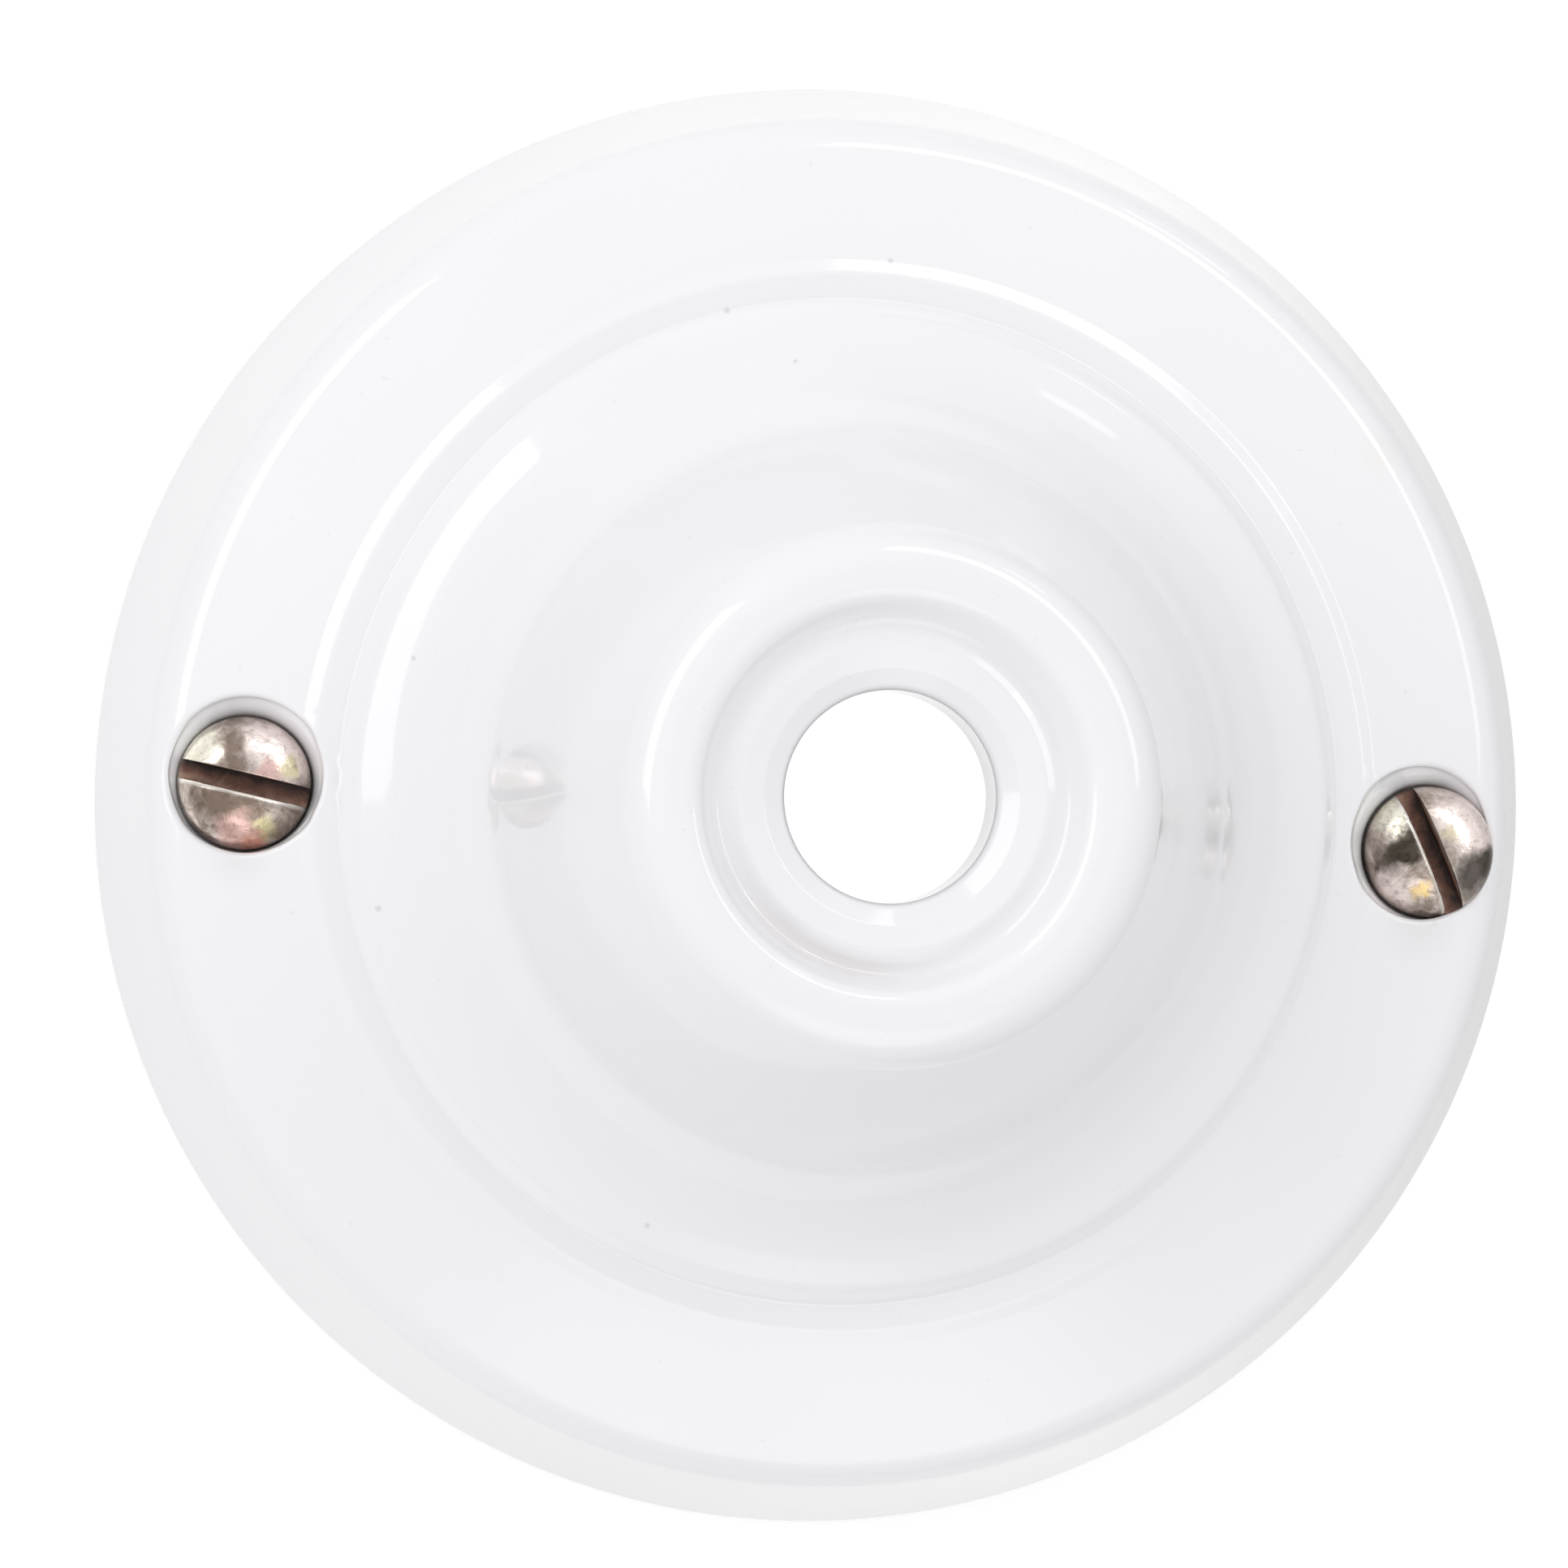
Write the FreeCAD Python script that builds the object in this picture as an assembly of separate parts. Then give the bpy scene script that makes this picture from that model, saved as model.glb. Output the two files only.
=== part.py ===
"""Electrical ceiling rose: glazed porcelain cover over a porcelain base with brass terminals.

Millimetres. The ceiling is the plane z = 0 and +Z points down into the room, so the rose rests on its rim
as drawn. X runs from the left cover screw to the right one, and the origin is the middle of the back.
"""
import FreeCAD, Part
import math
import os

os.makedirs("parts", exist_ok=True)

# Cover outline from the rim inwards, as radius and height of each corner, with the rounding of that corner
cover_radius = 44.5
cover_wall = 2.7
rim_height = 1.0
rim_rounding = 0.6
shoulder_inset = 3.3
shoulder_radius = cover_radius - shoulder_inset
shoulder_height = 12.3
shoulder_rounding = 3.0
flange_share = 0.744
flange_inner_radius = flange_share * cover_radius
flange_rise = 2.2
flange_inner_height = shoulder_height + flange_rise
flange_rounding = 3.0
bead_inset = 1.3
bead_radius = flange_inner_radius - bead_inset
bead_rise = 0.8
bead_height = flange_inner_height + bead_rise
bead_rounding = 2.0
valley_inset = 1.5
valley_radius = bead_radius - valley_inset
valley_drop = 0.1
valley_height = bead_height - valley_drop
valley_rounding = 1.6
step_inset = 1.0
step_radius = valley_radius - step_inset
step_rise = 1.0
step_height = valley_height + step_rise
step_rounding = 2.5
foot_inset = 2.6
foot_radius = step_radius - foot_inset
foot_rise = 1.3
foot_height = step_height + foot_rise
foot_rounding = 9.0
cavity_rounding = 2.0

# Flex hole, the lip and groove round it, and the rolled collar, from the hole outwards
flex_hole_radius = 6.1
collar_height = 39.9
flex_hole_drop = 2.3
flex_hole_height = collar_height - flex_hole_drop
flex_hole_rounding = 0.7
throat_drop = 6.9
throat_height = collar_height - throat_drop
ridge_width = 1.3
ridge_radius = flex_hole_radius + ridge_width
ridge_drop = 1.6
ridge_height = collar_height - ridge_drop
ridge_rounding = 0.6
lip_width = 1.4
lip_radius = ridge_radius + lip_width
lip_drop = 1.3
lip_height = collar_height - lip_drop
lip_rounding = 0.7
groove_width = 1.2
groove_radius = lip_radius + groove_width
groove_drop = 2.1
groove_height = collar_height - groove_drop
groove_rounding = 1.0
groove_flank_width = 1.5
collar_inner_radius = groove_radius + groove_flank_width
collar_inner_rounding = 1.4
collar_outer_rounding = 3.0
collar_width = 3.4
collar_radius = collar_inner_radius + collar_width

# Waist between the dome's foot and the collar
waist_share = 0.636
waist_radius = collar_radius + waist_share * (foot_radius - collar_radius)
waist_rise = 3.8
waist_height = foot_height + waist_rise
waist_rounding = 12.0

# Cover screws with their pockets, which sit a little off the screws as the glazed cover hangs
screw_inset = 5.0
screw_spacing = 2 * (shoulder_radius - screw_inset)
screw_shift_x = 0.4
screw_shift_y = -0.95
screw_radius = 1.95
screw_head_radius = 4.0
screw_head_edge = 0.7
screw_head_height = 3.2
screw_slot_width = 1.2
screw_slot_depth = 1.7
screw_slot_angles = {"left": -10.0, "right": -64.0}
screw_tip_chamfer = 0.5
screw_tip_height = 1.5
pocket_inset = 5.2
pocket_spacing = 2 * (shoulder_radius - pocket_inset)
pocket_shift_x = 0.05
pocket_shift_y = -0.46
pocket_play = 0.8
pocket_radius = screw_head_radius + pocket_play
pocket_floor_drop = 0.8
pocket_floor = shoulder_height - pocket_floor_drop
pocket_hole_play = 0.95
pocket_hole_radius = screw_radius + pocket_hole_play
boss_wall = 1.8
screw_length = pocket_floor - screw_tip_height

# Base disc with the cable entry in its middle, which fits inside the cover's leaning skirt
base_thickness = 5.6
base_gap = 0.3
skirt_lean = shoulder_inset / (shoulder_height - rim_height)
skirt_outer_radius = cover_radius - skirt_lean * (base_thickness - rim_height)
base_radius = skirt_outer_radius - cover_wall * math.hypot(1, skirt_lean) - base_gap
base_top_chamfer = 0.5
base_back_chamfer = 0.3
entry_share = 0.281
entry_radius = entry_share * cover_radius
entry_lip_width = 1.8
entry_lip_height = 1.8
entry_rounding = 0.6

# Slots for the two screws into the ceiling
fixing_spacing = 50.8
fixing_slot_width = 5.0
fixing_slot_length = 8.0
fixing_seat_width = 9.6
fixing_seat_depth = 1.4

# Brass pillars that take the cover screws, riveted into the base
pillar_bore_clearance = 0.05
pillar_bore_radius = screw_radius + pillar_bore_clearance
pillar_wall = 0.75
pillar_radius = pillar_bore_radius + pillar_wall
pillar_height = 2.2
spigot_wall = 0.45
pillar_spigot_radius = pillar_bore_radius + spigot_wall
pillar_rivet_radius = pillar_radius
pillar_rivet_thickness = 0.8
pillar_rivet_depth = 0.6
pillar_fit = 0.05

# Terminal blocks, each in a porcelain pen, with two wire ways
terminal_angles = {"line": 130.0, "neutral": 50.0, "loop": -130.0, "earth": -50.0}
terminal_circle_share = 0.483
terminal_circle_radius = terminal_circle_share * cover_radius
terminal_length = 12.4
terminal_depth = 7.0
terminal_gap = 1.9
terminal_height = flange_inner_height - base_thickness - terminal_gap
terminal_chamfer = 0.5
way_spacing = 6.4
way_radius = 1.6
way_height = 3.4
pen_gap = 0.2
pen_wall = 1.6
pen_drop = 3.0
pen_height = terminal_height - pen_drop
clamp_screw_radius = 1.45
clamp_screw_head_radius = 2.3
clamp_screw_head_height = 1.8
clamp_screw_lift = 0.5
clamp_screw_slot_width = 0.7
clamp_screw_slot_depth = 0.9
clamp_screw_slot_angles = (25.0, 75.0)
thread_clearance = 0.05
thread_runout = 0.8
retainer_radius = 1.45
retainer_length = 5.2
retainer_head_radius = 2.6
retainer_head_height = 1.6
retainer_seat_depth = 2.2
retainer_slot_width = 0.8
retainer_slot_depth = 0.8
retainer_slot_angle = 30.0
retainer_clearance = 0.15

# Cord clamp: a bar on two bosses, held by screws into square nuts at the back
clamp_setback = 9.5
clamp_distance = entry_radius + clamp_setback
clamp_screw_spacing = 13.0
clamp_boss_radius = 3.2
clamp_boss_height = 2.4
clamp_bar_width = 6.2
clamp_bar_thickness = 2.4
clamp_arch_radius = 3.4
clamp_arch_rise = 1.0
clamp_bolt_radius = 1.45
clamp_bolt_length = 8.6
clamp_bolt_head_radius = 2.7
clamp_bolt_head_height = 1.9
clamp_bolt_slot_width = 0.8
clamp_bolt_slot_depth = 0.9
clamp_bolt_slot_angles = (20.0, 85.0)
clamp_bolt_clearance = 0.15
nut_width = 5.5
nut_thickness = 2.0
nut_recess_gap = 0.1
nut_recess_depth = 2.4

UP = FreeCAD.Vector(0, 0, 1)
ACROSS = FreeCAD.Vector(1, 0, 0)
ORIGIN = FreeCAD.Vector(0, 0, 0)


def spot(x, y, z=0.0):
    return FreeCAD.Vector(x, y, z)


def rod(radius, height, x=0.0, y=0.0, z=0.0):
    return Part.makeCylinder(radius, height, spot(x, y, z), UP)


def block(length, width, height, x=0.0, y=0.0, z=0.0):
    """A box with the middle of its underside at x, y, z."""
    return Part.makeBox(length, width, height, spot(x - length / 2, y - width / 2, z))


def turned(shape, degrees):
    copy = shape.copy()
    copy.rotate(ORIGIN, UP, degrees)
    return copy


def placed(shape, x, y, z=0.0):
    copy = shape.copy()
    copy.translate(spot(x, y, z))
    return copy


def rounded_outline(corners):
    """Edges of a closed outline in the XZ plane, from corners of radius, height and rounding."""
    count = len(corners)
    starts = []
    arcs = []
    for index, (radius, height, rounding) in enumerate(corners):
        corner = spot(radius, 0, height)
        if rounding == 0:
            starts.append((corner, corner))
            arcs.append(None)
            continue
        previous = corners[index - 1]
        following = corners[(index + 1) % count]
        before = spot(previous[0], 0, previous[1]).sub(corner).normalize()
        after = spot(following[0], 0, following[1]).sub(corner).normalize()
        half_angle = before.getAngle(after) / 2
        reach = rounding / math.tan(half_angle)
        bisector = before.add(after).normalize()
        entry = corner.add(before * reach)
        leave = corner.add(after * reach)
        middle = corner.add(bisector * (rounding / math.sin(half_angle) - rounding))
        starts.append((entry, leave))
        arcs.append(Part.Arc(entry, middle, leave).toShape())
    edges = []
    for index in range(count):
        if arcs[index]:
            edges.append(arcs[index])
        edges.append(Part.makeLine(starts[index][1], starts[(index + 1) % count][0]))
    return edges


def revolved(corners):
    face = Part.Face(Part.Wire(rounded_outline(corners)))
    return face.revolve(ORIGIN, UP, 360)


def inset_corner(before, corner, after, wall):
    """Where the two sides of a corner meet once both have moved in by the wall."""
    lines = []
    for start, end in ((before, corner), (corner, after)):
        run = (end[0] - start[0], end[1] - start[1])
        length = math.hypot(*run)
        inward = (-run[1] / length, run[0] / length)
        lines.append((start[0] + inward[0] * wall, start[1] + inward[1] * wall, run[0], run[1]))
    (ax, ay, ux, uy), (bx, by, vx, vy) = lines
    along = ((bx - ax) * vy - (by - ay) * vx) / (ux * vy - uy * vx)
    return ax + along * ux, ay + along * uy


def radius_at(start, end, height):
    """Radius at a height on the line through two outline points."""
    return start[0] + (end[0] - start[0]) * (height - start[1]) / (end[1] - start[1])


def slot_prism(width, length, height, x, y, z):
    """A slot with round ends that runs along Y."""
    straight = length - width
    ends = [rod(width / 2, height, x, y + side * straight / 2, z) for side in (-1, 1)]
    return block(width, straight, height, x, y, z).fuse(ends).removeSplitter()


def slotted_head(head, radius, top, slot_width, slot_depth, angle):
    """A screw head with a screwdriver slot right across its top."""
    slot = block(3 * radius, slot_width, slot_depth, 0, 0, top - slot_depth)
    return head.cut(turned(slot, angle))


def make_cover():
    rim = (cover_radius, rim_height)
    shoulder = (shoulder_radius, shoulder_height)
    flange = (flange_inner_radius, flange_inner_height)
    valley = (valley_radius, valley_height)
    foot = (foot_radius, foot_height)
    waist = (waist_radius, waist_height)
    collar_edge = (collar_radius, collar_height)
    inner_rim = inset_corner((cover_radius, 0), rim, shoulder, cover_wall)
    inner_shoulder = inset_corner(rim, shoulder, flange, cover_wall)
    inner_flange = inset_corner(shoulder, flange, valley, cover_wall)
    inner_valley = inset_corner(flange, valley, foot, cover_wall)
    inner_foot = inset_corner(valley, foot, waist, cover_wall)
    inner_waist = inset_corner(foot, waist, collar_edge, cover_wall)
    inner_collar = inset_corner(waist, collar_edge, (collar_inner_radius, collar_height), cover_wall)
    throat_radius = radius_at(inner_waist, inner_collar, throat_height)
    outside = [
        (cover_radius, 0, 0),
        (cover_radius, rim_height, rim_rounding),
        (shoulder_radius, shoulder_height, shoulder_rounding),
        (flange_inner_radius, flange_inner_height, flange_rounding),
        (bead_radius, bead_height, bead_rounding),
        (valley_radius, valley_height, valley_rounding),
        (step_radius, step_height, step_rounding),
        (foot_radius, foot_height, foot_rounding),
        (waist_radius, waist_height, waist_rounding),
    ]
    collar = [
        (collar_radius, collar_height, collar_outer_rounding),
        (collar_inner_radius, collar_height, collar_inner_rounding),
        (groove_radius, groove_height, groove_rounding),
        (lip_radius, lip_height, lip_rounding),
        (ridge_radius, ridge_height, ridge_rounding),
        (flex_hole_radius, flex_hole_height, flex_hole_rounding),
        (flex_hole_radius, throat_height, 0),
    ]
    inside = [
        (throat_radius, throat_height, cavity_rounding),
        (*inner_waist, waist_rounding),
        (*inner_foot, cavity_rounding),
        (*inner_valley, cavity_rounding),
        (*inner_flange, cavity_rounding),
        (*inner_shoulder, cavity_rounding),
        (radius_at(inner_rim, inner_shoulder, 0), 0, 0),
    ]
    shell = revolved(outside + collar + inside)
    filled = revolved(outside + [(collar_radius, collar_height, 0), (0, collar_height, 0), (0, 0, 0)])
    boss_bottom = base_thickness + pillar_height
    spots = [side * pocket_spacing / 2 + pocket_shift_x for side in (-1, 1)]
    for x in spots:
        boss = rod(pocket_radius + boss_wall, collar_height, x, pocket_shift_y, boss_bottom)
        shell = shell.fuse(boss.common(filled))
    for x in spots:
        shell = shell.cut(rod(pocket_radius, collar_height, x, pocket_shift_y, pocket_floor))
        shell = shell.cut(rod(pocket_hole_radius, collar_height, x, pocket_shift_y, 0))
    return shell.removeSplitter()


def screw_spot(side):
    """Where the axis of a cover screw stands."""
    return screw_spacing / 2 * (1 if side == "right" else -1) + screw_shift_x, screw_shift_y


def make_cover_screw(side):
    dome_rise = screw_head_height - screw_head_edge
    head = rod(screw_head_radius, screw_head_edge, 0, 0, 0)
    ball_radius = (screw_head_radius ** 2 + dome_rise ** 2) / (2 * dome_rise)
    ball = Part.makeSphere(ball_radius, spot(0, 0, screw_head_height - ball_radius))
    dome = ball.common(rod(screw_head_radius, dome_rise, 0, 0, screw_head_edge))
    head = slotted_head(head.fuse(dome), screw_head_radius, screw_head_height, screw_slot_width,
                        screw_slot_depth, screw_slot_angles[side])
    shank = rod(screw_radius, screw_length, 0, 0, -screw_length)
    tip_edge = [edge for edge in shank.Edges if edge.BoundBox.ZMax < -screw_length / 2]
    shank = shank.makeChamfer(screw_tip_chamfer, tip_edge)
    x, y = screw_spot(side)
    return placed(head.fuse(shank).removeSplitter(), x, y, pocket_floor)


def make_cover_pillar(side):
    x, y = screw_spot(side)
    rivet_top = pillar_rivet_depth + pillar_rivet_thickness
    pillar = rod(pillar_rivet_radius, pillar_rivet_thickness, x, y, pillar_rivet_depth)
    pillar = pillar.fuse(rod(pillar_spigot_radius, base_thickness - rivet_top, x, y, rivet_top))
    pillar = pillar.fuse(rod(pillar_radius, pillar_height, x, y, base_thickness))
    bore = rod(pillar_bore_radius, base_thickness + pillar_height, x, y, 0)
    return pillar.cut(bore).removeSplitter()


def at_terminal(shape, name):
    """Moves a shape drawn about the Z axis, radial along X, to its terminal's place."""
    return turned(placed(shape, terminal_circle_radius, 0), terminal_angles[name])


def way_offsets():
    return (-way_spacing / 2, way_spacing / 2)


def make_terminal(name):
    body = block(terminal_depth, terminal_length, terminal_height, 0, 0, base_thickness)
    body = body.makeChamfer(terminal_chamfer, [edge for edge in body.Edges
                                               if edge.BoundBox.ZMin > base_thickness + terminal_chamfer])
    for y in way_offsets():
        way_start = spot(-terminal_depth / 2, y, base_thickness + way_height)
        body = body.cut(Part.makeCylinder(way_radius, terminal_depth, way_start, ACROSS))
        body = body.cut(rod(clamp_screw_radius + thread_clearance, terminal_height - way_height, 0, y,
                            base_thickness + way_height))
    screw_end = retainer_seat_depth + retainer_length
    thread_length = screw_end + thread_runout - base_thickness
    thread = rod(retainer_radius + thread_clearance, thread_length, 0, 0, base_thickness)
    return at_terminal(body.cut(thread).removeSplitter(), name)


def make_clamp_screws(name):
    seat = base_thickness + terminal_height + clamp_screw_lift
    tip = base_thickness + way_height
    screws = []
    for y, slot_angle in zip(way_offsets(), clamp_screw_slot_angles):
        head = rod(clamp_screw_head_radius, clamp_screw_head_height, 0, 0, seat)
        head = slotted_head(head, clamp_screw_head_radius, seat + clamp_screw_head_height,
                            clamp_screw_slot_width, clamp_screw_slot_depth,
                            slot_angle + terminal_angles[name] / 2)
        screw = head.fuse(rod(clamp_screw_radius, seat - tip, 0, 0, tip)).removeSplitter()
        screws.append(at_terminal(placed(screw, 0, y), name))
    return Part.makeCompound(screws)


def make_terminal_retainer(name):
    head_bottom = retainer_seat_depth - retainer_head_height
    head = rod(retainer_head_radius, retainer_head_height, 0, 0, head_bottom)
    slot = block(2 * retainer_head_radius, retainer_slot_width, retainer_slot_depth, 0, 0, head_bottom)
    head = head.cut(turned(slot, retainer_slot_angle))
    screw = head.fuse(rod(retainer_radius, retainer_length, 0, 0, retainer_seat_depth))
    return at_terminal(screw.removeSplitter(), name)


def clamp_bolt_spots():
    return [(-clamp_distance, side * clamp_screw_spacing / 2) for side in (-1, 1)]


def clamp_bar_bottom():
    return base_thickness + clamp_boss_height


def make_cord_clamp_bar():
    bar = slot_prism(clamp_bar_width, clamp_screw_spacing + clamp_bar_width, clamp_bar_thickness,
                     -clamp_distance, 0, clamp_bar_bottom())
    arch = Part.makeCylinder(clamp_arch_radius, 2 * clamp_bar_width,
                             spot(-clamp_distance - clamp_bar_width, 0, 0), ACROSS)
    bar = bar.cut(placed(arch, 0, 0, clamp_bar_bottom() + clamp_arch_rise - clamp_arch_radius))
    hole_radius = clamp_bolt_radius + clamp_bolt_clearance
    for x, y in clamp_bolt_spots():
        bar = bar.cut(rod(hole_radius, clamp_bar_thickness, x, y, clamp_bar_bottom()))
    return bar.removeSplitter()


def make_cord_clamp_screws():
    seat = clamp_bar_bottom() + clamp_bar_thickness
    screws = []
    for (x, y), slot_angle in zip(clamp_bolt_spots(), clamp_bolt_slot_angles):
        head = rod(clamp_bolt_head_radius, clamp_bolt_head_height, 0, 0, seat)
        head = slotted_head(head, clamp_bolt_head_radius, seat + clamp_bolt_head_height,
                            clamp_bolt_slot_width, clamp_bolt_slot_depth, slot_angle)
        screw = head.fuse(rod(clamp_bolt_radius, clamp_bolt_length, 0, 0, seat - clamp_bolt_length))
        screws.append(placed(screw.removeSplitter(), x, y))
    return Part.makeCompound(screws)


def make_cord_clamp_nuts():
    nuts = []
    for x, y in clamp_bolt_spots():
        nut = block(nut_width, nut_width, nut_thickness, x, y, nut_recess_depth - nut_thickness)
        nuts.append(nut.cut(rod(clamp_bolt_radius + thread_clearance, base_thickness, x, y, 0)))
    return Part.makeCompound(nuts)


def make_pen():
    """Porcelain walls round a terminal, open towards the cable entry."""
    outer_length = terminal_length + 2 * (pen_gap + pen_wall)
    outer_depth = terminal_depth + pen_gap + pen_wall
    shift = (pen_gap + pen_wall) / 2
    pen = block(outer_depth, outer_length, pen_height, shift, 0, base_thickness)
    hollow_depth = terminal_depth + 2 * pen_gap
    hollow = block(hollow_depth, terminal_length + 2 * pen_gap, pen_height, 0, 0, base_thickness)
    return pen.cut(hollow)


def make_base():
    lip_top = base_thickness + entry_lip_height
    base = revolved([
        (entry_radius, 0, entry_rounding),
        (base_radius, 0, base_back_chamfer),
        (base_radius, base_thickness, base_top_chamfer),
        (entry_radius + entry_lip_width, base_thickness, entry_rounding),
        (entry_radius + entry_lip_width, lip_top, entry_rounding),
        (entry_radius, lip_top, entry_rounding),
    ])
    for name in terminal_angles:
        base = base.fuse(at_terminal(make_pen(), name))
    for x, y in clamp_bolt_spots():
        base = base.fuse(rod(clamp_boss_radius, clamp_boss_height, x, y, base_thickness))
    holes = []
    for side in (-1, 1):
        y = side * fixing_spacing / 2
        holes.append(slot_prism(fixing_slot_width, fixing_slot_length, base_thickness, 0, y, 0))
        seat_length = fixing_slot_length + fixing_seat_width - fixing_slot_width
        holes.append(slot_prism(fixing_seat_width, seat_length, fixing_seat_depth, 0, y,
                                base_thickness - fixing_seat_depth))
    for side in ("left", "right"):
        x, y = screw_spot(side)
        holes.append(rod(pillar_spigot_radius + pillar_fit, base_thickness, x, y, 0))
        rivet_top = pillar_rivet_depth + pillar_rivet_thickness
        holes.append(rod(pillar_rivet_radius + pillar_fit, rivet_top, x, y, 0))
    for name in terminal_angles:
        hole = rod(retainer_radius + retainer_clearance, base_thickness).fuse(
            rod(retainer_head_radius + retainer_clearance, retainer_seat_depth))
        holes.append(at_terminal(hole, name))
    for x, y in clamp_bolt_spots():
        holes.append(rod(clamp_bolt_radius + clamp_bolt_clearance, clamp_bar_bottom(), x, y, 0))
        recess_width = nut_width + 2 * nut_recess_gap
        holes.append(block(recess_width, recess_width, nut_recess_depth, x, y, 0))
    for hole in holes:
        base = base.cut(hole)
    return base.removeSplitter()


def save(name, shape):
    if not shape.isValid():
        raise ValueError(name + " is not a valid solid")
    shape.exportStep(os.path.join("parts", name + ".step"))
    print(name, len(shape.Solids), round(shape.Volume, 1))


save("cover", make_cover())
save("base", make_base())
for side in ("left", "right"):
    save("cover_screw_" + side, make_cover_screw(side))
    save("cover_pillar_" + side, make_cover_pillar(side))
for name in terminal_angles:
    save(name + "_terminal", make_terminal(name))
    save(name + "_clamp_screws", make_clamp_screws(name))
    save(name + "_terminal_screw", make_terminal_retainer(name))
save("cord_clamp_bar", make_cord_clamp_bar())
save("cord_clamp_screws", make_cord_clamp_screws())
save("cord_clamp_nuts", make_cord_clamp_nuts())
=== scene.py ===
"""Looks of the ceiling rose: glazed cover, its two screws, the base behind and a plain studio round it."""
import math

import bmesh
import bpy
import numpy as np
from mathutils import Matrix, Vector, geometry, noise


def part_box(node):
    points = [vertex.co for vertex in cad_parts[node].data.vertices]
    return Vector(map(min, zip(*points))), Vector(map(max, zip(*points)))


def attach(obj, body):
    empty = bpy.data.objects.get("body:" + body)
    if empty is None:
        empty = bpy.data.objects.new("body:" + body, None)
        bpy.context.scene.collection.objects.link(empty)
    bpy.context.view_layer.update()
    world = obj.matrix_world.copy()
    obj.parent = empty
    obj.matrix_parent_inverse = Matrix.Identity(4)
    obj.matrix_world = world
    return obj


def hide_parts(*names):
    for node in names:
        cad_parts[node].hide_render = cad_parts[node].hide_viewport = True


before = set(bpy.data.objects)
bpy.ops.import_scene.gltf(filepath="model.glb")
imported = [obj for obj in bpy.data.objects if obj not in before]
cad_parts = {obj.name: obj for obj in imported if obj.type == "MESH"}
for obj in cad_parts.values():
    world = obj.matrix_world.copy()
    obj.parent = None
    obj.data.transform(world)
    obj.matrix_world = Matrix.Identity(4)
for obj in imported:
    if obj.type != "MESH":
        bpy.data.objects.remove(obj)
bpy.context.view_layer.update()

MM = 0.001


def in_mm(length):
    """A length of the frame in mm, without the last digits that its file adds."""
    return round(length / MM, 4)


# Camera, fitted to the rings of the cover in the photograph; lengths in mm, pixels of the whole picture
IMAGE_WIDTH = 1932
CAMERA_DISTANCE = 450.0
CAMERA_NEAR = 10.0
CAMERA_SENSOR = 36.0
PIXELS_PER_MM = 19.775
CAMERA_TILT_X = math.radians(6.65)
CAMERA_TILT_Y = math.radians(1.2)
CAMERA_ROLL = math.radians(3.2)
ORIGIN_PIXEL = (1000.0, 991.0)

# Cover outline in mm, from the rim up and over the collar: radius, height and rounding of each corner
COVER_RADIUS = in_mm(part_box("cover")[1].x)
COVER_HEIGHT = in_mm(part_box("cover")[1].z)
THROAT_HEIGHT = 33.0
RIM_FOOT = (COVER_RADIUS, 0.0, 0.3)
RIM = (COVER_RADIUS, 1.0, 0.6)
SHOULDER = (COVER_RADIUS - 3.3, 12.3, 3.0)
FLANGE_EDGE = (32.75, 14.597, 1.0)
BEAD = (31.9, 14.95, 1.2)
VALLEY = (30.308, 15.02, 0.3)
STEP = (29.308, 16.2, 2.0)
DOME_FOOT = (26.708, 17.5, 9.0)
WAIST = (22.41, 21.3, 12.0)
COLLAR = (14.9, COVER_HEIGHT, 3.0)
COLLAR_INSIDE = (11.5, COVER_HEIGHT, 1.4)
GROOVE = (10.0, COVER_HEIGHT - 1.75, 1.0)
RIDGE = (8.8, COVER_HEIGHT - 1.3, 0.7)
LIP = (7.4, COVER_HEIGHT - 1.6, 0.6)
HOLE_EDGE = (6.1, COVER_HEIGHT - 2.3, 0.7)
THROAT = (6.1, THROAT_HEIGHT, 0.3)
COVER_OUTSIDE = [RIM_FOOT, RIM, SHOULDER, FLANGE_EDGE, BEAD, VALLEY, STEP, DOME_FOOT, WAIST, COLLAR,
                 COLLAR_INSIDE, GROOVE, RIDGE, LIP, HOLE_EDGE, THROAT]

# Inside of the cover
COVER_WALL = 2.7
CAVITY_ROUNDING = 2.0
WAIST_ROUNDING = 12.0
INNER_RIM_ROUNDING = 0.3

# Steps of the cover's mesh: round the axis, along an arc and along a straight run
COVER_SEGMENTS = 288
MESH_STEPS = (math.radians(8.0), 0.8)
TABLE_STEPS = (math.radians(1.0), 0.2)
LEAST_ARC_STEPS = 3

# Limits of the meshes: doubles and edges in m, normals that count as given, sharp edges, stitching in mm
COVER_MERGE = 2e-7
SCREW_MERGE = 1e-7
LEAST_EDGE = 1e-8
LEAST_NORMAL = 0.5
SHARP_ANGLE = math.radians(50)
STITCH_TOLERANCE = 1e-7

# A normal that rises more than this belongs to the outside; the tables of heights leave the rim out
OUTSIDE_RISE = 0.01
RIM_BAND = 0.5
OUTER_TABLE_RADII = (17.0, 44.4)
INNER_TABLE_RADII = (13.0, 43.0)

# Screw heads, in mm
HEAD_RADIUS = 4.0
HEAD_EDGE = 1.1
HEAD_HEIGHT = 3.2
HEAD_FLATNESS = 2.4
HEAD_POWER = 0.6
HEAD_COLUMNS = 57
SLOT_WIDTH = 1.2
SLOT_DEPTH = 1.7
SLOT_HALF = SLOT_WIDTH / 2
SLOT_ANGLES = {"cover_screw_left": -10.0, "cover_screw_right": -64.0}
DENT_SEEDS = {"cover_screw_left": Vector((7.3, 1.9, 4.1)), "cover_screw_right": Vector((2.7, 8.8, 5.5))}

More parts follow.
